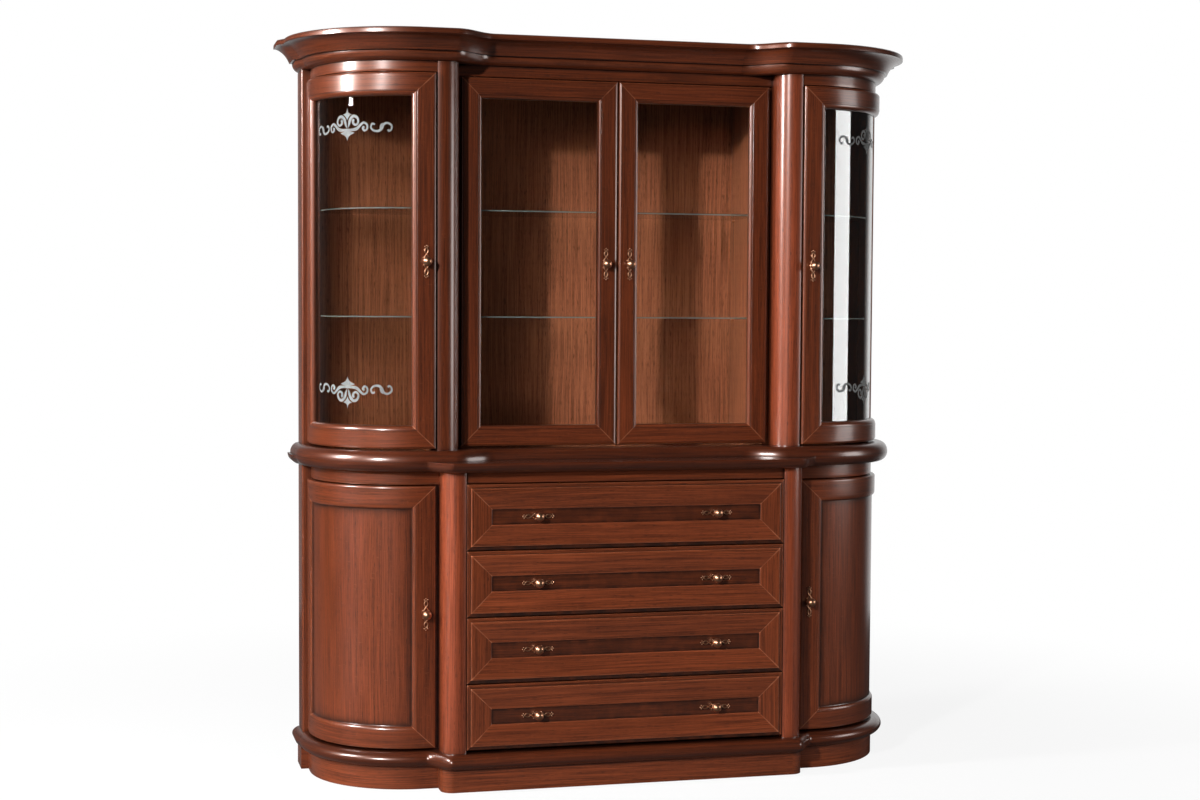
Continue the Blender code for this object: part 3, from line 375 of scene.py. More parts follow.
def round_front(centre_x, radius, first, last, y):
    """A post's round front: the centre plus the radius times the sine and minus the cosine of
    equal steps of angle from first to last, with its foremost line at y."""
    turn = np.linspace(first, last, 25)
    return np.column_stack([centre_x + radius * np.sin(turn), y + radius - radius * np.cos(turn)])


def drawn_up(plan, levels):
    """A plan at each of the levels: a row for each point of the plan, a column for each level."""
    return np.stack([np.column_stack([plan, np.full(len(plan), z)]) for z in levels], 1)


def post(name, wood, outline, levels, shades, replaced):
    """An upright: its outline drawn straight up, with the ends closed."""
    bottom, top = levels
    levels = np.array([bottom, bottom + 0.02, (bottom + top) / 2, top - 0.02, top])
    # the glaze is darkened at both ends of each upright: painted shade where it meets the boards
    shade = np.maximum(shades, np.array([0.45, 0.0, 0.0, 0.0, 0.55])[:, None])
    points = drawn_up(outline, levels).swapaxes(0, 1)
    skin = surface(points, levels, distances(outline, True), shade, tube=True, capped=True)
    make_piece(name, "carcass", wood, [skin], [replaced])


for side, sign in sides:
    over = np.array([sign, 1])
    stop = [(stop_outer_x, stop_front_y), (stop_outer_x, stop_back_y)]
    inner_x, outer_x, back, radius = lower_post.values()
    centre_x = outer_x - radius
    front = round_front(centre_x, radius, -np.arcsin((centre_x - inner_x) / radius), np.pi / 2, face_y)
    flank = [(outer_x, outer_flank_y), (outer_x, stop_front_y)]
    outline = np.concatenate([front, flank, stop, [(inner_x, back), (inner_x, inner_flank_y)]])
    shades = [0.3, *np.zeros(25), *[0.9] * 5]
    node = f"lower_corner_post_{side}"
    post(f"lower_post_{side}", lit_post_oak, outline * over, lower_levels, shades, node)

    inner_x, outer_x, back, radius = upper_post.values()
    centre_x = inner_x + radius
    front = round_front(centre_x, radius, -np.pi / 2, np.arcsin((outer_x - centre_x) / radius), upper_face_y)
    flank = [(outer_x, outer_flank_y), (outer_x, stop_front_y)]
    rear = [(outer_x, stop_back_y), (outer_x, back), (inner_x, back)]
    outline = np.concatenate([front, flank, stop, rear])
    shades = [0.2, *np.zeros(23), 0.3, *[0.9] * 7]
    wood = lit_post_oak if side == "right" else solid_oak
    post(f"upper_post_{side}", wood, outline * over, upper_levels, shades, f"upper_corner_post_{side}")

    corner = quarter_turn(rear_outer_x - rear_round, rear_post_y + rear_round, rear_round, 0, 8)
    rear = [(rear_outer_x, back_y), (rear_inner_x, back_y)]
    outline = np.concatenate([[(rear_inner_x, rear_post_y)], corner, rear])
    shades = [0.8, *np.zeros(11)]
    for part, levels in (("lower", lower_levels), ("upper", upper_levels)):
        name, node = f"{part}_rear_upright_{side}", f"{part}_rear_post_{side}"
        post(name, solid_oak, outline * over, levels, shades, node)

# Friezes: strips of oak 11 mm thick under the countertop and under the cornice. A straight one
# closes the middle and a bent one each end. A plain head board lies behind and over them.
frieze_thickness, rail_thickness = 0.0112, 0.020
upper_middle_y = -0.073
lower_ceiling, upper_ceiling = lower_levels[1], upper_levels[1]
rail_bottom, lower_frieze_bottom, upper_frieze_bottom = 0.879, 0.871, 2.036
head_thickness, head_radius, head_back_y = 0.018, 0.2706, 0.2572
# strip marks round the section: dark underneath and along the top under the board above, painted shade, and
# below nought at the lower arris, a painted highlight
strip_shade = np.array([0.9, 0.9, 0.2, -0.25, 0.1, 0.15, 0.9, 0.9])


def strip_section(thickness, bottom, top):
    """A strip's section, as depth behind its face and height, with a fine arris at the lower edge."""
    section = [(thickness, bottom), (0.0016, bottom), (0.0005, bottom + 0.0005), (0, bottom + 0.0016)]
    return np.array(section + [(0, bottom + 0.007), (0, top - 0.007), (0, top), (thickness, top)])


def bent_frieze(side, bottom, top, start_x):
    """A strip bent round the end: its section follows the straight, the quarter circle and the
    short straight by the rear post, at each depth behind the face."""
    sign = 1 if side == "right" else -1

    def plan_at(out):
        radius = end_radius + out
        arc = quarter_turn(end_axis_x, end_axis_y, radius, 0, 64)
        line = [[(start_x, arc[0, 1])], arc, [(end_axis_x + radius, rear_post_y - touch_gap)]]
        return np.concatenate(line) * (sign, 1)

    section = strip_section(frieze_thickness, bottom, top) * (-1, 1)
    along, across = distances(plan_at(0)), distances(section, True)
    return surface(carried(plan_at, section), along, across, strip_shade, tube=True, capped=True)


def straight_frieze(half_width, front, thickness, bottom, top):
    """A straight strip between the posts, darkened at both ends by painted shade where it meets them."""
    section = strip_section(thickness, bottom, top) + (front, 0)
    ends = np.array([-half_width, -half_width + 0.012, 0, half_width - 0.012, half_width])
    points = np.stack([np.column_stack([np.full(len(section), x), section]) for x in ends])
    shade = np.maximum(strip_shade, np.array([0.8, 0, 0, 0, 0.8])[:, None])
    return surface(points, ends, distances(section, True), shade, tube=True, capped=True)


def head_board(front, corner_post, top):
    """A board 18 mm thick, notched round the posts and their stops, behind the friezes."""
    gap = touch_gap
    inner_x, outer_x = corner_post["inner_x"] - gap, corner_post["outer_x"] + gap
    post_back = corner_post["back_y"] + gap
    stop_x, stop_y = stop_outer_x + gap, stop_back_y + gap
    rear_x, rear_y = rear_inner_x - gap, rear_post_y - gap
    half = [[(inner_x, front), (inner_x, post_back)]]
    if post_back > stop_y:
        half += [[(outer_x, post_back), (outer_x, stop_y)]]
    half += [[(stop_x, stop_y), (stop_x, end_axis_y - head_radius)]]
    half += [quarter_turn(end_axis_x, end_axis_y, head_radius, 0, 48)]
    half += [[(end_axis_x + head_radius, rear_y), (rear_x, rear_y), (rear_x, head_back_y)]]
    plan = both_sides(np.concatenate(half))
    points = drawn_up(plan, (top - head_thickness, top))
    return surface(points, distances(plan, True), (0, head_thickness), 0.3, ring=True, capped=True)


def add_frieze(name, skin, part):
    make_piece(name, "carcass", solid_oak, [skin], [f"{part}_frieze"])


rail_back, upper_back = middle_y + rail_thickness + 0.0005, upper_middle_y + frieze_thickness + touch_gap
add_frieze("lower_head_board", head_board(rail_back, lower_post, lower_ceiling), "lower")
add_frieze("upper_head_board", head_board(upper_back, upper_post, upper_ceiling), "upper")
lower_half, upper_half = lower_post["inner_x"] - touch_gap, upper_post["inner_x"] - touch_gap
rail = straight_frieze(lower_half, middle_y, rail_thickness, rail_bottom, lower_ceiling)
add_frieze("drawer_rail", rail, "lower")
middle = straight_frieze(upper_half, upper_middle_y, frieze_thickness, upper_frieze_bottom, upper_ceiling)
add_frieze("middle_frieze", middle, "upper")
lower_start, upper_start = lower_post["outer_x"] + touch_gap, upper_post["outer_x"] + touch_gap
for side in ("left", "right"):
    lower = bent_frieze(side, lower_frieze_bottom, lower_ceiling, lower_start)
    add_frieze(f"lower_bent_frieze_{side}", lower, "lower")
    upper = bent_frieze(side, upper_frieze_bottom, upper_ceiling, upper_start)
    add_frieze(f"upper_bent_frieze_{side}", upper, "upper")

# Back panels, partitions and top board: oak veneer on board, flat and plain. The backs have
# upright grain, and show through the glass as the warm brown wall behind the shelves.
back_veneer = lacquered_oak(
    "back_veneer", (0.250, 0.082, 0.038), (0.108, 0.033, 0.015), 0.2, coat=0.0, gleam=0.1, level_grain=False
)
level_veneer = lacquered_oak(
    "level_veneer", (0.200, 0.055, 0.020), (0.120, 0.030, 0.010), 0.2, coat=0.1, level_grain=True
)


def dress(node, material):
    """Gives a piece of the frame its material as it stands."""
    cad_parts[node].data.materials[0] = material


for part in ("lower", "upper"):
    for board in ("back_panel", "partition_left", "partition_right"):
        dress(f"{part}_{board}", back_veneer)
dress("top_board", level_veneer)

# Drawers: four fronts with a low lip round the edge, a mitred frame that slopes in and a sunk
# panel 41 mm high, each on a birch ply box. Painted shade darkens the lip and the sunk panel,
# most round the panel's edges and on the lip along the bottom edge, which lies in the shade of
# the gap below. A painted highlight lightens the lip's rounded edge.
drawer_steps = (48, 20)


def eased(steps):
    """Shares from nought to one, by half a cosine wave, so that they crowd at both ends."""
    return (1 - np.cos(np.pi * np.linspace(0, 1, steps + 1))) / 2


def mitred_frame(lay, width, height, section, steps, rail_share=1.0, closed=False):
    """Four boards with one moulded section, mitred at the corners. Each row of the section is how
    far inwards a line of it runs, how far proud of the face, and its mark: above nought glaze and
    painted shade, below nought a painted highlight. The level boards are narrower by rail_share.
    Each board runs between its mitres, and lay puts it in its place."""
    count = len(section)
    stile, rise, shade = np.resize(section, (count + closed, 3)).T
    rail = stile * rail_share
    across = distances(section[:, :2], closed)
    surfaces = []
    for upright in (False, True):
        share = eased(steps[upright])[:, None]
        first, length, cross = (rail, height, stile) if upright else (stile, width, rail)
        run = first + share * (length - 2 * first)
        to_mitre = np.minimum(share, 1 - share) * length
        # a thin painted highlight along each mitre line
        seam = np.where(to_mitre < 0.0012, -0.6, 0.0)
        for far in (False, True):
            over = np.broadcast_to((width if upright else height) - cross if far else cross, run.shape)
            points = lay(over, run, rise) if upright else lay(run, over, rise)
            patina_shade_and_highlight = (shade + seam)[:, :count]
            laid = np.broadcast_to(across, run.shape)
            surfaces.append(surface(points[:, :count], run, laid, patina_shade_and_highlight, tube=closed))
    return surfaces


def flat_field(lay, width, height, insets, rise, steps, shade=0.0, edge_shade=0.0, reach=0.01):
    """The flat of a panel, inset from the upright and the level edges, its grain along the longer
    way. Painted shade lies on it: shade all over, and edge_shade at its edges, which thins out
    with distance as e to the minus distance by reach."""
    low_a, low_b = insets
    high_a, high_b = width - low_a, height - low_b
    a = low_a + eased(steps[0])[:, None] * (high_a - low_a)
    b = low_b + eased(steps[1])[None, :] * (high_b - low_b)
    a, b = np.broadcast_arrays(a, b)
    inward = np.minimum.reduce([a - low_a, high_a - a, b - low_b, high_b - b])
    patina_shade_and_highlight = shade + edge_shade * np.exp(-inward / reach)
    level = (high_a - low_a) > (high_b - low_b)
    points = lay(a, b, np.full(a.shape, rise))
    return surface(points, a if level else b, b if level else a, patina_shade_and_highlight)


drawer_section = np.array([
    (0, -0.0220, 0.5), (0, -0.0075, 0.3), (0.0004, -0.0062, -0.3), (0.0013, -0.0053, -0.4),
    (0.0025, -0.0050, 0.2), (0.0085, -0.0050, 0.45), (0.0098, -0.0049, 0.95), (0.0100, -0.0040, 0.9),
    (0.0103, -0.0022, 0.2), (0.0110, -0.0008, -0.25), (0.0125, -0.0001, -0.35), (0.0150, 0.0, 0.0),
    (0.0300, -0.0016, 0.0), (0.0520, -0.0039, 0.05), (0.0660, -0.0054, 0.15), (0.0690, -0.0058, -0.1),
    (0.0705, -0.0063, -0.3), (0.0716, -0.0072, 0.3), (0.0722, -0.0084, 1.0), (0.0730, -0.0090, 1.0),
])
shaded_lip_points = 7
birch_ply = lacquered_oak(
    "birch_ply", (0.520, 0.370, 0.230), (0.440, 0.300, 0.170), 0.1, pores=0.12, coat=0.25, level_grain=True
)
for number in (1, 2, 3, 4):
    low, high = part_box(f"drawer_{number}_front")
    width, height = high[0] - low[0], high[2] - low[2]

    def lay_drawer(a, b, rise):
        return np.stack([low[0] + a, np.broadcast_to(face_y - rise, a.shape), low[2] + b], -1)

    front = mitred_frame(lay_drawer, width, height, drawer_section, drawer_steps)
    shaded_lower_lip = front[0][4].reshape(-1, len(drawer_section))
    # the lip along the bottom edge is painted fully dark: shade from the gap under the drawer
    shaded_lower_lip[:, :shaded_lip_points] = 1.0
    edge, sunk = drawer_section[-1, :2]
    # the sunk panel is painted darker all over and more at its edges: shade under the frame
    front.append(flat_field(lay_drawer, width, height, (edge, edge), sunk, drawer_steps, 0.6, 0.4, 0.004))
    front.append(flat_field(lay_drawer, width, height, (0, 0), drawer_section[0, 1], drawer_steps))
    name, node = f"drawer_{number}_face", f"drawer_{number}_front"
    make_piece(name, f"drawer_{number}", drawer_oak, front, [node])
    dress(f"drawer_{number}_box", birch_ply)

# Lower doors: oak bent round the end, 24 mm thick, with wide mitred rails and stiles whose inner
# edges are rounded down to a sunk panel of upright grain. Painted shade is darkest round the panel,
# and a painted highlight lightens the rounded edges.
door_edge_x, door_radius = 0.5495, 0.2945
door_straight = end_axis_x - door_edge_x
door_length = door_straight + door_radius * np.pi / 2 + 0.032
door_steps = (72, 56)
stile_width, rail_width = 0.070, 0.066
rail_share = rail_width / stile_width
lower_door_bottom, lower_door_height = 0.116, 0.752


def round_end(sign, bottom):
    """How a leaf lies round the end. Distance a runs along the face from the meeting edge: along
    the straight, round the axis by a over the radius, and back along the side. Height is b."""
    def lay(a, b, rise):
        past = a - door_straight
        angle = np.clip(past / door_radius, 0, np.pi / 2)
        ahead, behind = np.minimum(past, 0), np.maximum(past - door_radius * np.pi / 2, 0)
        x = end_axis_x + (door_radius + rise) * np.sin(angle) + ahead
        y = end_axis_y - (door_radius + rise) * np.cos(angle) + behind
        return np.stack(np.broadcast_arrays(sign * x, y, bottom + b), -1)
    return lay


lower_section = np.array([
    (0, -0.0240, 0.5), (0, -0.0060, 0.4), (0.0006, -0.0036, 0.1), (0.0022, -0.0014, -0.3),
    (0.0042, -0.0003, -0.2), (0.0070, 0.0, 0.0), (0.0078, 0.0, 0.0), (0.0350, 0.0, 0.0), (0.0540, 0.0, 0.05),
    (0.0590, -0.0002, 0.0), (0.0625, -0.0012, -0.2), (0.0655, -0.0030, -0.1), (0.0675, -0.0052, 0.4),
    (0.0685, -0.0072, 0.9), (0.0700, -0.0080, 1.0),
])
for side, sign in sides:
    lay, size = round_end(sign, lower_door_bottom), (door_length, lower_door_height)
    leaf = mitred_frame(lay, *size, lower_section, door_steps, rail_share)
    leaf.append(flat_field(lay, *size, (0, 0), lower_section[0, 1], door_steps, 0.2))
    sunk = lower_section[-1, 1]
    leaf.append(flat_field(lay, *size, (stile_width, rail_width), sunk, door_steps, 0.0, 0.95, 0.013))
    name, body = f"lower_bent_door_{side}", f"lower_door_{side}"
    make_piece(name, body, solid_oak, leaf, [f"{body}_leaf"])

# Countertop and upper base board: two oak boards, one on the other. The lower one's nose slopes
# in underneath, the upper one's is rounded above, and they meet at a fine line at the widest.
counter_stand, counter_reach = 0.025, 0.025
counter_bottom, counter_slope = 0.911, 0.0274
upper_base_bottom, upper_base_thickness = 0.939, 0.030
upper_swing, upper_base_y = (0.375, 0.500), -0.101
slope = rounded(counter_stand, counter_reach, counter_bottom, counter_slope)
slope += [(counter_stand + counter_reach, upper_base_bottom - touch_gap)]
# painted shade: the countertop's nose is darkest on its underside, fading towards its widest line, and dark
# again at its top under the upper board
slope_shade = [*np.linspace(0.95, 0.05, 13), 0.6]
counter_plan = swung_plan(*lower_swing, middle_y, rear_step=0.010)
moulded_board("countertop_board", "countertop", counter_plan, slope, slope_shade)
bottom = upper_base_bottom - upper_base_thickness
round_over = rounded(counter_stand, counter_reach, bottom, upper_base_thickness, np.pi / 2, np.pi)
# the upper board is darkened along the fine line at its widest and, as painted shade, at its back where the
# doors stand on it
round_shade = [0.6, *np.linspace(0.05, 0.0, 8), *np.linspace(0.1, 0.6, 4)]
upper_base_plan = swung_plan(*upper_swing, upper_base_y, rear_step=0.002)
moulded_board("upper_base_moulding", "upper_base_board", upper_base_plan, round_over, round_shade)

# Cornice: solid oak, built up of a bead, a hollow that flares out and a fillet on top. The ends
# are shaped from wide pieces and meet the straight middle at plain joints beside the posts.
cornice_bottom, cornice_top = 2.066, 2.150
cornice_y, joint_width = -0.066, 0.0006
bead_size = 0.027
hollow_root, hollow_reach, hollow_rise = 0.035, 0.0405, 0.041
inner_wall_x, inner_wall_y = 0.8537, 0.239


def cornice_plan(overhang):
    """The plan swung round, with two more points close beside each joint."""
    plan = swung_plan(*upper_swing, cornice_y, rear_step=0.017)(overhang)
    half = plan[:len(plan) // 2]
    joint_x = upper_swing[0]
    seam = [(joint_x - 2 * joint_width, half[0, 1]), (joint_x - joint_width, half[0, 1])]
    return both_sides(np.concatenate([seam, half]))


def flare(share):
    """How far the hollow has flared out at a share of its height: part slope and part circle."""
    return 0.35 * share + 0.65 * (1 - np.sqrt(1 - 0.96 * share * share)) / 0.8


bead = rounded(0, bead_size, cornice_bottom, bead_size)
share = np.linspace(0, 1, 17)[1:]
hollow_z = cornice_bottom + bead_size + hollow_rise * share
hollow = [*zip(hollow_root + hollow_reach * flare(share), hollow_z)]
fillet = [(0.0810, 2.1340), (0.0815, 2.1345), (0.0815, 2.1425), (0.0805, 2.1470), (0.0775, 2.1495)]
fillet += [(0.0755, cornice_top)]
cornice_profile = bead + [(0.0345, 2.0931), (hollow_root, 2.0936)] + hollow + fillet
cornice_profile += [(-0.030, cornice_top), (-0.030, cornice_bottom)]
# painted shade darkens the bead's underside over the frieze and the step into the hollow; the bead's top is
# lightened, a painted highlight; the fillet on top is darkened in its steps
bead_shade = [*np.linspace(0.9, 0.0, 6), *np.linspace(0.0, -0.2, 5), 0.2, 0.9, 1.0, 0.5]
fillet_shade = [0.2, 0.9, 0.3, 0.15, 0.2, 0.5, 0.5, 0.4, 0.4]
cornice_shade = np.array([*bead_shade, *np.full(15, 0.04), *fillet_shade])
cornice_skin = carried(cornice_plan, cornice_profile)
cornice_skin[:, -2:, 0] = np.clip(cornice_skin[:, -2:, 0], -inner_wall_x, inner_wall_x)
cornice_skin[:, -2:, 1] = np.minimum(cornice_skin[:, -2:, 1], inner_wall_y)
seam = np.zeros((len(cornice_skin), 1))
seam[[1, -2]] = 0.7
cornice_surface = surface(
    cornice_skin, distances(cornice_plan(0.08), True), distances(cornice_profile, True),
    cornice_shade + seam, ring=True, tube=True,
)
make_piece("cornice_moulding", "carcass", solid_oak, [cornice_surface], ["cornice"])

# Glazed doors: a mitred oak frame holding a pane of float glass in a rebate. The middle ones are
# flat, and the end ones bent, with a rounded moulding along the pane that catches the light. The
# bent panes keep back more lamplight, and the right one has the brighter reflection.
upper_door_bottom, upper_door_height = 0.974, 1.059
flat_door_width, meeting_gap, flat_door_y = 0.462, 0.0015, -0.085
flat_door_steps = (48, 56)
pane_inner_radius, pane_radius = 0.2712, 0.2752
pane_rail_inset, pane_stile_inset = 0.0583, 0.0623


def sheet_glass(name, index, passing):
    """Polished glass of a given refractive index, with the faint film that wiping leaves. The
    lamps' light passes it straight, dimmed to the colour passing."""
    material, tree, shader = new_material(name)
    film = ramp(tree, object_noise(tree, 9.0, 5.0), 0.35, 0.8, 0.0, 0.003)
    clear = {"Base Color": (0.965, 0.985, 0.975, 1), "Transmission Weight": 1.0}
    feed(tree, shader, {**clear, "IOR": index, "Roughness": film})
    passed = add_node(tree, "BsdfTransparent", {"Color": (*passing, 1)})
    lamp_ray = add_node(tree, "LightPath", {}).outputs["Is Shadow Ray"]
    either = add_node(tree, "MixShader", {0: lamp_ray, 1: shader.outputs[0], 2: passed.outputs[0]})
    tree.links.new(either.outputs[0], tree.nodes["Material Output"].inputs["Surface"])
    return material


clear_glass = sheet_glass("low_glare_glass", 1.2, (0.97, 0.99, 0.98))
bent_glass = sheet_glass("bent_glass", 1.2, (0.50, 0.52, 0.51))
bright_glass = sheet_glass("bright_glass", 1.75, (0.80, 0.83, 0.815))
# each row: how far in, how far proud, and its mark: dark in the rebate and steps, painted shade, and below
# nought on the rounded edges, a painted highlight
bent_section = np.array([
    (0, -0.0240, 0.5), (0, -0.0060, 0.4), (0.0006, -0.0040, 0.1), (0.0020, -0.0024, -0.3),
    (0.0042, -0.0018, 0.3), (0.0048, -0.0016, 0.7), (0.0052, -0.0006, 0.2), (0.0062, -0.0001, -0.2),
    (0.0070, 0.0, 0.0), (0.0078, 0.0, 0.0), (0.0300, 0.0, 0.0), (0.0526, 0.0, 0.05), (0.0532, 0.0, 0.3),
    (0.0538, -0.0004, 0.6), (0.0542, -0.0012, 0.9), (0.0556, -0.0012, 0.3), (0.0590, -0.0018, 0.0),
    (0.0625, -0.0033, -0.15), (0.0655, -0.0055, -0.1), (0.0678, -0.0085, 0.1), (0.0692, -0.0120, 0.4),
    (0.0700, -0.0150, 0.6), (0.0700, -0.0190, 0.9), (0.0620, -0.0190, 0.9), (0.0620, -0.0240, 0.5),
])
flat_section = np.array([
    (0, -0.0220, 0.5), (0, -0.0070, 0.4), (0.0005, -0.0048, 0.1), (0.0018, -0.0026, -0.3),
    (0.0040, -0.0010, -0.2), (0.0065, -0.0004, 0.5), (0.0070, 0.0, 0.1), (0.0076, 0.0, 0.0),
    (0.0300, 0.0, 0.0), (0.0478, 0.0, 0.05), (0.0483, 0.0, 0.3), (0.0488, -0.0004, 0.6),
    (0.0493, -0.0012, 0.9), (0.0505, -0.0012, 0.3), (0.0530, -0.0017, 0.0), (0.0555, -0.0030, -0.15),
    (0.0577, -0.0052, 0.0), (0.0591, -0.0082, 0.3), (0.0600, -0.0115, 0.6), (0.0600, -0.0170, 0.9),
    (0.0520, -0.0170, 0.9), (0.0520, -0.0220, 0.5),
])
for side, sign in sides:
    height, lay = upper_door_height, round_end(sign, upper_door_bottom)
    bent = mitred_frame(lay, door_length, height, bent_section, door_steps, rail_share, True)
    body = f"upper_door_{side}"
    make_piece(f"bent_door_frame_{side}", body, solid_oak, bent, [f"{body}_frame"])

    low, high = pane_rail_inset, height - pane_rail_inset
    inner, outer = pane_inner_radius, pane_radius
    section = np.array([(low, inner), (low, outer), (high, outer), (high, inner)])
    reach = np.linspace(pane_stile_inset, door_length - pane_stile_inset, 73)
    turns = (reach[:, None] - door_straight) / door_radius
    pane_x = sign * (end_axis_x + section[:, 1] * np.sin(turns))
    pane_y = end_axis_y - section[:, 1] * np.cos(turns)
    pane = np.stack(np.broadcast_arrays(pane_x, pane_y, upper_door_bottom + section[:, 0]), -1)
    skin = surface(pane, turns[:, 0] * door_radius, distances(section, True), tube=True, capped=True)
    glass = bright_glass if side == "right" else bent_glass
    make_piece(f"bent_pane_{side}", body, glass, [skin], [f"{body}_glass"])

    def lay_flat(a, b, rise):
        x, y, z = sign * (meeting_gap + a), flat_door_y - rise, upper_door_bottom + b
        return np.stack(np.broadcast_arrays(x, y, z), -1)

    flat = mitred_frame(lay_flat, flat_door_width, height, flat_section, flat_door_steps, closed=True)
    body = f"centre_door_{side}"
    make_piece(f"flat_door_frame_{side}", body, solid_oak, flat, [f"{body}_frame"])
    dress(f"{body}_glass", clear_glass)

# Glass shelves: float glass 6 mm thick, two in the middle and two in each end, resting on pins.
# The end ones follow the inside of the curved door. Their front edges are ground and look grey.
shelf_radius, shelf_thickness, shelf_room = 0.256, 0.006, 0.0015
shelf_inner_x, shelf_post_x, shelf_rear_y, shelf_back_y = 0.478, 0.5495, 0.172, 0.2545
arris, edge_skin, edge_gap = 0.0012, 0.0001, 0.00005
ground, tree, shader = new_material("ground_glass_edge")
grind = object_noise(tree, 240.0, 3.0)
grey = blended(tree, grind, (0.040, 0.046, 0.042, 1), (0.085, 0.096, 0.088, 1))
feed(tree, shader, {"Base Color": grey, "Roughness": ramp(tree, grind, 0.3, 0.7, 0.35, 0.6)})


def ground_edge(name, edge, outward, bottom, top):
    """The ground edge of a shelf, a skin 0.1 mm thick: its line at the face and again that much
    further out, drawn up from the lower arris to the upper one."""
    low, high = bottom + arris, top - arris
    section = [(0.0, low), (edge_skin, low), (edge_skin, high), (0.0, high)]
    points = np.concatenate([drawn_up(edge + outward * out, (z,)) for out, z in section], 1)
    skin = surface(points, distances(edge), distances(section, True), tube=True, capped=True)
    make_piece(name, "carcass", ground, [skin])


for level in ("low", "high"):
    node = f"centre_shelf_{level}"
    dress(node, clear_glass)
    low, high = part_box(node)
    edge_x = np.linspace(low[0] + 0.001, high[0] - 0.001, 9)
    edge = np.column_stack([edge_x, np.full(9, low[1] - edge_gap)])
    ground_edge(f"shelf_edge_middle_{level}", edge, np.array([(0, -1)] * 9), low[2], high[2])
for side, sign in sides:
    for level in ("low", "high"):
        node = f"{side}_shelf_{level}"
        bottom, top = (corner[2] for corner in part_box(node))
        post_y, stop_y = upper_post["back_y"] + shelf_room, stop_back_y + shelf_room
        stop_x, rear_x = stop_outer_x + shelf_room, rear_inner_x - shelf_room
        plan = [[(shelf_inner_x, post_y), (shelf_post_x, post_y), (shelf_post_x, stop_y), (stop_x, stop_y)]]
        plan += [[(stop_x, end_axis_y - shelf_radius)]]
        plan += [quarter_turn(end_axis_x, end_axis_y, shelf_radius, 0, 64)]
        plan += [[(end_axis_x + shelf_radius, shelf_rear_y), (rear_x, shelf_rear_y)]]
        plan += [[(rear_x, shelf_back_y), (shelf_inner_x, shelf_back_y)]]
        plan = np.concatenate(plan) * (sign, 1)
        points, across = drawn_up(plan, (bottom, top)), (0, shelf_thickness)
        skin = surface(points, distances(plan, True), across, ring=True, capped=True)
        make_piece(f"bent_shelf_{side}_{level}", "carcass", clear_glass, [skin], [node])
        edge = quarter_turn(end_axis_x, end_axis_y, shelf_radius + edge_gap, 0, 64) * (sign, 1)
        outward = quarter_turn(0, 0, 1, 0, 64) * (sign, 1)
        ground_edge(f"shelf_edge_{side}_{level}", edge, outward, bottom, top)

# Etched scrolls: common baroque scrollwork, frosted into the outside of each curved pane near its
# top and bottom. Two heart-shaped volutes stand over a pointed leaf, with smaller scrolls beside.
scroll_turn, scroll_radius = np.radians(47.2), pane_radius + 0.0001
etched_thickness, etched_sunk = 0.0001, 0.00002
top_scroll_z, bottom_scroll_z = 1.8995, 1.121
frost, tree, shader = new_material("etched_frost")
etch, mottle = object_noise(tree, 900.0, 2.0), object_noise(tree, 60.0, 3.0)
bite = blended(tree, ramp(tree, mottle, 0.3, 0.7), (0.115, 0.115, 0.112, 1), (0.175, 0.175, 0.170, 1))
pitted = add_node(tree, "Bump", {"Strength": 0.3, "Distance": 0.0002, "Height": etch})
feed(tree, shader, {"Base Color": bite, "Normal": pitted.outputs["Normal"]})
feed(tree, shader, {"Roughness": ramp(tree, etch, 0.3, 0.7, 0.55, 0.85)})

# strokes drawn in millimetres from the middle of the scroll: places with the stroke's half width
scroll_strokes = (
    ((2, -19, 1), (6, -9, 3.6), (11, 5, 4.6), (22, 13.5, 4.2), (34, 9, 3.8), (38, -3, 3.4), (31, -11, 3.2),
     (22, -8, 3.6), (20, 0, 4.2), (25, 3, 3.0)),
    ((2, -22, 1), (15, -25, 3.6), (32, -22.5, 4.6), (44, -13, 4.0), (55, -6, 3.2), (66, -12, 3.0),
     (66, -24, 2.8), (58, -28, 3.0), (53, -21, 4.0), (58, -17, 2.6)),
    ((90, -12, 2.6), (82, -10, 3.0), (78, -20, 2.6), (87, -29, 3.0), (101, -30, 3.6), (110, -23, 4.0),
     (116, -12, 3.2), (127, -8, 3.0), (138, -15, 2.8), (138, -26, 2.4), (131, -30, 3.0), (128, -26, 2.2)),
    ((106, -22, 2.4), (108, -14, 2.0), (113, -8, 0.8)),
)
leaf_widths = (
    ((37, 0.2), (30, 1.6), (24, 4.0), (21, 9.0), (19, 16.0), (17, 12.0), (13, 6.5), (8, 3.0), (3, 0.3)),
    ((-20, 0.3), (-24, 5.0), (-29, 13.0), (-32, 22.0), (-34, 26.0), (-36, 20.0), (-41, 9.0), (-47, 3.5),
     (-55, 0.3)),
)


def through(points, steps):
    """A smooth line through a few points by the Catmull-Rom rule: between two points, a cubic
    whose slope at each is half the step between that point's neighbours."""
    points = np.asarray(points, float)
    line = np.vstack([2 * points[0] - points[1], points, 2 * points[-1] - points[-2]])
    t = np.linspace(0, len(points) - 1, steps)
    i = np.minimum(t.astype(int), len(points) - 2)
    t = (t - i)[:, None]
    a, b, c, d = line[i], line[i + 1], line[i + 2], line[i + 3]
    return (2 * b + (c - a) * t + (2 * a - 5 * b + 4 * c - d) * t**2 + (3 * b - a - 3 * c + d) * t**3) / 2


def sideways(line):
    """The unit step across a line in its plane, at each of its points."""
    slope = np.gradient(line[:, :2], axis=0)
    return slope[:, ::-1] * (-1, 1) / np.linalg.norm(slope, axis=1)[:, None]


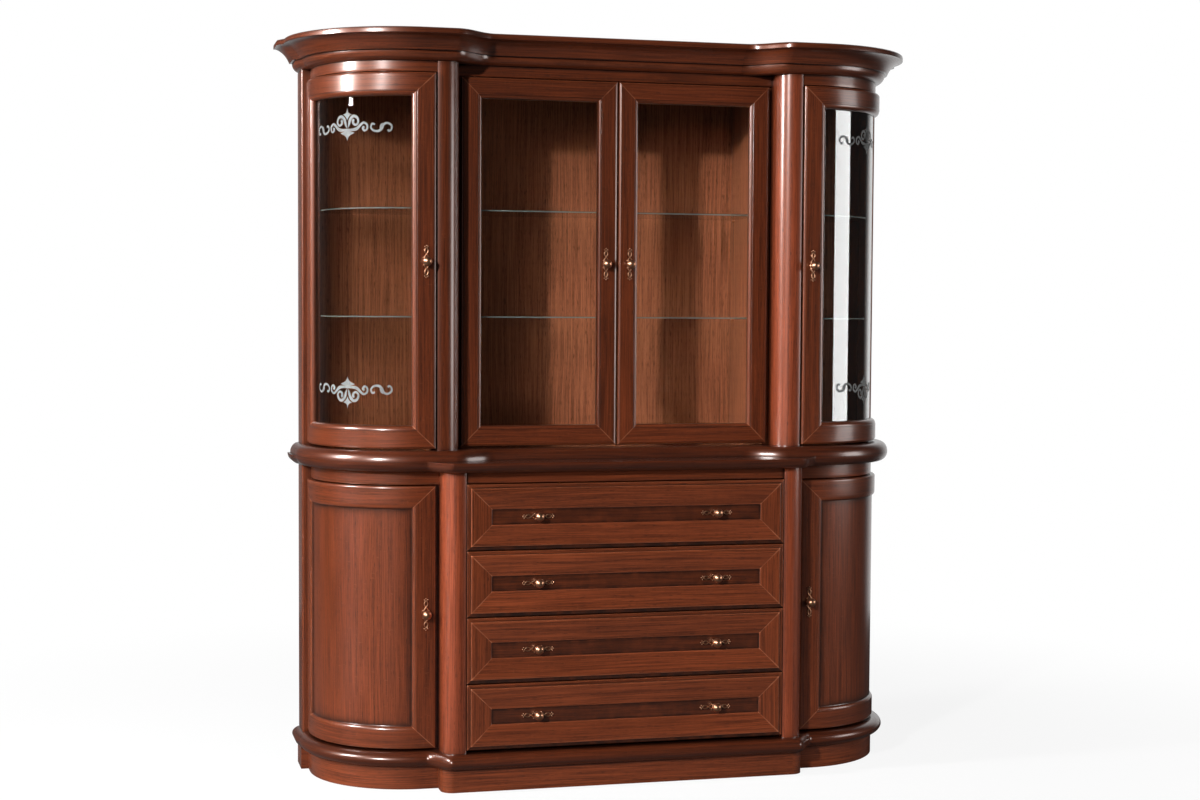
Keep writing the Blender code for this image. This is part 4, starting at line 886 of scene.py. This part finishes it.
def flat_stroke(centre, side_step, thickness, lay):
    """A flat lens-shaped stroke: round its centre line, the side step times the cosine and the
    thickness times the sine of six equal angles."""
    angle = np.arange(6) * np.pi / 3
    a = centre[:, :1] + side_step[:, :1] * np.cos(angle)
    b = centre[:, 1:2] + side_step[:, 1:2] * np.cos(angle)
    points = lay(a, b, np.broadcast_to(thickness * np.sin(angle), a.shape))
    return surface(points, distances(centre), np.arange(7) * 0.002, tube=True, capped=True)


for side, sign in sides:
    for place, level, flip in (("top", top_scroll_z, 1), ("bottom", bottom_scroll_z, -1)):
        def lay_etched(a, b, rise):
            angle = scroll_turn - a / scroll_radius
            radius = scroll_radius - etched_sunk + rise
            x, y = end_axis_x + radius * np.sin(angle), end_axis_y - radius * np.cos(angle)
            return np.stack(np.broadcast_arrays(sign * x, y, level + flip * b), -1)

        strokes = []
        for hand in (-1, 1):
            for stroke in scroll_strokes:
                line = through(stroke, 72) * 0.001
                turned = np.array([hand, 1])
                centre, across = line[:, :2] * turned, sideways(line) * line[:, 2:] * turned
                strokes.append(flat_stroke(centre, across, etched_thickness, lay_etched))
        for leaf in leaf_widths:
            line = through(leaf, 48) * 0.001
            centre = np.column_stack([np.zeros(48), line[:, 0]])
            across = np.column_stack([line[:, 1], np.zeros(48)])
            strokes.append(flat_stroke(centre, across, etched_thickness, lay_etched))
        name, body = f"etched_scroll_{side}_{place}", f"upper_door_{side}"
        make_piece(name, body, frost, strokes)

# Knobs: a turned brass ball on a short neck, over a cast openwork plate of crossing scrolls that
# end in three beads. The drawers have theirs level and the doors upright, fixed by one screw.
# the dark brass colour stands for both real tarnish, laid by noise, and painted shade where the mark is
# above nought: round the neck, under the ball and under the strands
bright_brass, tarnished_and_shaded_brass = (0.66, 0.34, 0.20, 1), (0.20, 0.085, 0.046, 1)
aged_brass, tree, shader = new_material("aged_brass_casting")
tarnish = ramp(tree, object_noise(tree, 260.0, 4.0), 0.4, 0.75, 0.0, 0.3)
hollow_shade = add_node(tree, "Attribute", {}, attribute_name="patina_shade_and_highlight").outputs["Fac"]
tarnish_and_shade = add_node(tree, "Math", {0: tarnish, 1: hollow_shade}, operation="ADD", use_clamp=True).outputs[0]
feed(tree, shader, {"Base Color": blended(tree, tarnish_and_shade, bright_brass, tarnished_and_shaded_brass), "Metallic": 1.0})
feed(tree, shader, {"Roughness": ramp(tree, tarnish_and_shade, 0.0, 1.0, 0.32, 0.55)})


def turned_round(profile, shade, steps=32):
    """A turning: each (radius, height) of the profile swept round the knob's own axis."""
    profile = np.asarray(profile, float)
    angle = np.arange(steps)[:, None] * 2 * np.pi / steps
    radius, height = profile.T
    points = np.broadcast_arrays(radius * np.cos(angle), radius * np.sin(angle), height)
    along = np.arange(steps + 1) * 0.003
    return surface(np.stack(points, -1), along, distances(profile), shade, ring=True)


def cast_strand(points, steps=40, faces=8):
    """A strand of the plate: round its centre line, its radius times the cosine sideways and
    times the sine upwards of equal angles, set on the face it lies on."""
    line = through(points, steps) * 0.001
    angle = np.arange(faces) * 2 * np.pi / faces
    across = sideways(line)[:, None, :] * line[:, None, 2:] * np.cos(angle)[None, :, None]
    flat = line[:, None, :2] + across
    height = 0.0014 + line[:, 2:] * np.sin(angle) * 0.8
    # the underside of each strand, towards the plate's face, is painted dark: shade
    shade = np.where(np.sin(angle) > -0.2, 0.0, 0.7)
    grid = np.concatenate([flat, height[..., None]], 2)
    return surface(grid, distances(line), np.arange(faces + 1) * 0.001, shade, tube=True, capped=True)


def bead_at(x, y, radius, height=0.0016):
    """A small cast bead: a half-wave of radius turned about its own centre."""
    rise = 0.8 * radius
    flat, *rest = turned_round(rounded(0, radius, height - rise, rise, 0, np.pi, 8), 0.1, 12)
    return flat + (x, y, 0), *rest


# the neck as radius and height from the wall, the plate's strands as places with their half width
neck = [(0.0092, 0.0), (0.0094, 0.0014), (0.0086, 0.0026), (0.0066, 0.0034), (0.0050, 0.0048)]
neck += [(0.0044, 0.0066), (0.0046, 0.0080)]
ball = rounded(0, 0.0132, 0.0077, 0.0128, 0.39, np.pi, 21)
# painted shade: darkest at the foot of the neck and the ball's underside, fading to nought at its front
ball_shade = [0.9, 0.9, 0.4, 0.2, 0.5, 0.8, 0.9, 0.8, *np.linspace(0.6, 0.0, 22)]
strands = (
    ((5, 5.8, 1.7), (11, 6.0, 1.7), (18, 2.2, 1.5), (26, -4.0, 1.8), (33, -4.4, 1.9), (38, -0.8, 1.5),
     (40, 2.2, 1.3)),
    ((5, -5.8, 1.7), (11, -6.0, 1.7), (18, -2.0, 1.5), (26, 4.0, 1.8), (33, 4.2, 1.7), (38, 0.8, 1.4),
     (40, -1.8, 1.3)),
)
beads = ((44.8, 0.0, 2.2), (41.4, 4.6, 2.1), (41.4, -4.6, 2.1), (10.5, 8.2, 1.8), (10.5, -8.2, 1.8))
knob_parts = [turned_round([(0, 0.0)] + neck + ball, ball_shade)]
for hand in (-1, 1):
    for strand in strands:
        knob_parts.append(cast_strand(np.array(strand) * (hand, hand, 1)))
    for x, y, radius in beads:
        knob_parts.append(bead_at(hand * x * 0.001, y * 0.001, radius * 0.001))
knobs = [(f"drawer_{n}_knob_{side}", f"drawer_{n}") for n in (1, 2, 3, 4) for side in ("left", "right")]
for kind in ("lower", "upper", "centre"):
    knobs += [(f"{kind}_door_{side}_knob", f"{kind}_door_{side}") for side in ("left", "right")]
for node, body in knobs:
    low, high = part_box(node)
    middle = np.array([(low[0] + high[0]) / 2, high[1], (low[2] + high[2]) / 2])
    level, upright = [(1, 0, 0), (0, 0, 1), (0, -1, 0)], [(0, 0, 1), (1, 0, 0), (0, -1, 0)]
    turn_to = np.array(upright if "door" in body else level)
    parts = [(flat @ turn_to + middle, *rest) for flat, *rest in knob_parts]
    make_piece(f"{node}_casting", body, aged_brass, parts, [node])

# Studio: a pale floor and a white surround. A small hard lamp stands far off at the front left, a
# tall one at the left, and a broad one at the right makes the upright streak on the curved pane.
# Three weak washes lift the lower part of the cabinet and show in no reflection.
floor_radius, floor_points = 3.4, 96
stage_floor = bpy.data.meshes.new("studio_floor")
around = np.linspace(0, 2 * np.pi, floor_points + 1)[:-1]
rim = floor_radius * np.column_stack([np.cos(around), np.sin(around)])
rim = np.column_stack([rim, np.full(floor_points, -0.0002)])
stage_floor.from_pydata(rim.tolist(), [], [list(range(floor_points))])
floor_piece = bpy.data.objects.new("studio_floor", stage_floor)
bpy.context.scene.collection.objects.link(floor_piece)
pale, tree, shader = new_material("pale_floor")
ray = add_node(tree, "LightPath", {}).outputs
straight = times(tree, ray["Is Transmission Ray"], maths(tree, "LESS_THAN", ray["Diffuse Depth"], 0.5))
seen = maths(tree, "MAXIMUM", ray["Is Camera Ray"], straight)
shade = ramp(tree, seen, 0.0, 1.0, 0.08, 0.8)
feed(tree, shader, {"Base Color": shade, "Roughness": 0.9, "Specular IOR Level": 0.0})
white = add_node(tree, "Emission", {"Color": (1, 1, 1, 1), "Strength": 1.0})
floor_at = add_node(tree, "TexCoord", {}).outputs["Object"]
reach = add_node(tree, "VectorMath", {0: floor_at}, operation="LENGTH").outputs["Value"]
share = times(tree, seen, ramp(tree, reach, 1.2, 3.2, 0.88, 1.0))
whitened = add_node(tree, "MixShader", {0: share, 1: shader.outputs[0], 2: white.outputs[0]})
tree.links.new(whitened.outputs[0], tree.nodes["Material Output"].inputs["Surface"])
stage_floor.materials.append(pale)

# the surround is white to the camera, dim to reflections and through glass but for a bright part
# behind and to the right, and all but dark to the rest
scene = bpy.context.scene
scene.world = scene.world or bpy.data.worlds.new("studio")
scene.world.use_nodes = True
tree = scene.world.node_tree
tree.nodes.clear()
heading = add_node(tree, "TexCoord", {}).outputs["Generated"]
rightwards, behind = add_node(tree, "SeparateXYZ", {0: heading}).outputs[:2]
ray = add_node(tree, "LightPath", {}).outputs
bent_ray = maths(tree, "MAXIMUM", ray["Is Glossy Ray"], ray["Is Transmission Ray"])
bent_ray = times(tree, bent_ray, maths(tree, "LESS_THAN", ray["Diffuse Depth"], 0.5))
backdrop = times(tree, ramp(tree, behind, 0.40, 0.75), ramp(tree, rightwards, -0.3, 0.3, 0.06, 0.7))
surround = times(tree, bent_ray, maths(tree, "ADD", backdrop, 0.022))
unseen = maths(tree, "SUBTRACT", 1.0, maths(tree, "MAXIMUM", bent_ray, ray["Is Camera Ray"]))
level = maths(tree, "ADD", maths(tree, "ADD", ray["Is Camera Ray"], surround), times(tree, unseen, 0.010))
sky = add_node(tree, "Background", {"Color": (1, 1, 1, 1), "Strength": level})
output = tree.nodes.new("ShaderNodeOutputWorld")
tree.links.new(sky.outputs[0], output.inputs["Surface"])

# each lamp: its place, what it is aimed at, its width and height, and its watts
lamp_rows = (
    ("key_lamp", (-8.07, -9.16, 5.23), (0.0, 0.0, 1.6), (0.62, 0.62), 1500),
    ("left_lamp", (-4.26, -0.57, 2.80), (-0.2, 0.0, 1.6), (0.37, 1.02), 250),
    ("right_lamp", (3.98, -1.74, 1.60), (0.80, -0.05, 1.60), (1.66, 1.75), 48),
    ("side_wash", (-5.20, -1.10, 0.60), (0.0, 0.0, 0.6), (1.20, 1.20), 18),
    ("right_wash", (2.60, -2.60, 0.50), (0.8, 0.0, 0.45), (0.60, 0.60), 2),
    ("front_wash", (-1.90, -2.90, 0.50), (0.0, 0.0, 0.12), (1.00, 0.40), 2.7),
)
for name, place, aim, (width, height), power in lamp_rows:
    lamp = bpy.data.lights.new(name, "AREA")
    lamp.shape = "RECTANGLE"
    lamp.size, lamp.size_y = width, height
    lamp.energy = power
    lamp_piece = bpy.data.objects.new(name, lamp)
    lamp_piece.location = place
    towards = Vector(aim) - Vector(place)
    lamp_piece.rotation_euler = towards.to_track_quat("-Z", "Y").to_euler()
    if name.endswith("wash"):
        lamp.spread = 0.9
    lamp_piece.visible_transmission = name == "right_lamp"
    lamp_piece.visible_glossy = name.endswith("lamp")
    scene.collection.objects.link(lamp_piece)

# the camera stands a little to the left, tilted down and turned by its roll
yaw, pitch, roll = np.radians((14.393, 2.993, 0.327))
camera_place = (-1.4938, -5.7065, 1.3714)
ahead = Vector((np.sin(yaw) * np.cos(pitch), np.cos(yaw) * np.cos(pitch), -np.sin(pitch)))
level_right = Vector((np.cos(yaw), -np.sin(yaw), 0))
straight_up = level_right.cross(ahead)
camera_right = level_right * np.cos(roll) + straight_up * np.sin(roll)
camera_up = straight_up * np.cos(roll) - level_right * np.sin(roll)
camera = bpy.data.cameras.new("camera")
camera.sensor_width = 36
camera.lens = 59.476
camera.shift_y = 0.0108
camera_piece = bpy.data.objects.new("camera", camera)
pose = Matrix((camera_right, camera_up, -ahead)).transposed().to_4x4()
pose.translation = camera_place
camera_piece.matrix_world = pose
scene.collection.objects.link(camera_piece)
scene.camera = camera_piece
scene.view_settings.view_transform = "Standard"
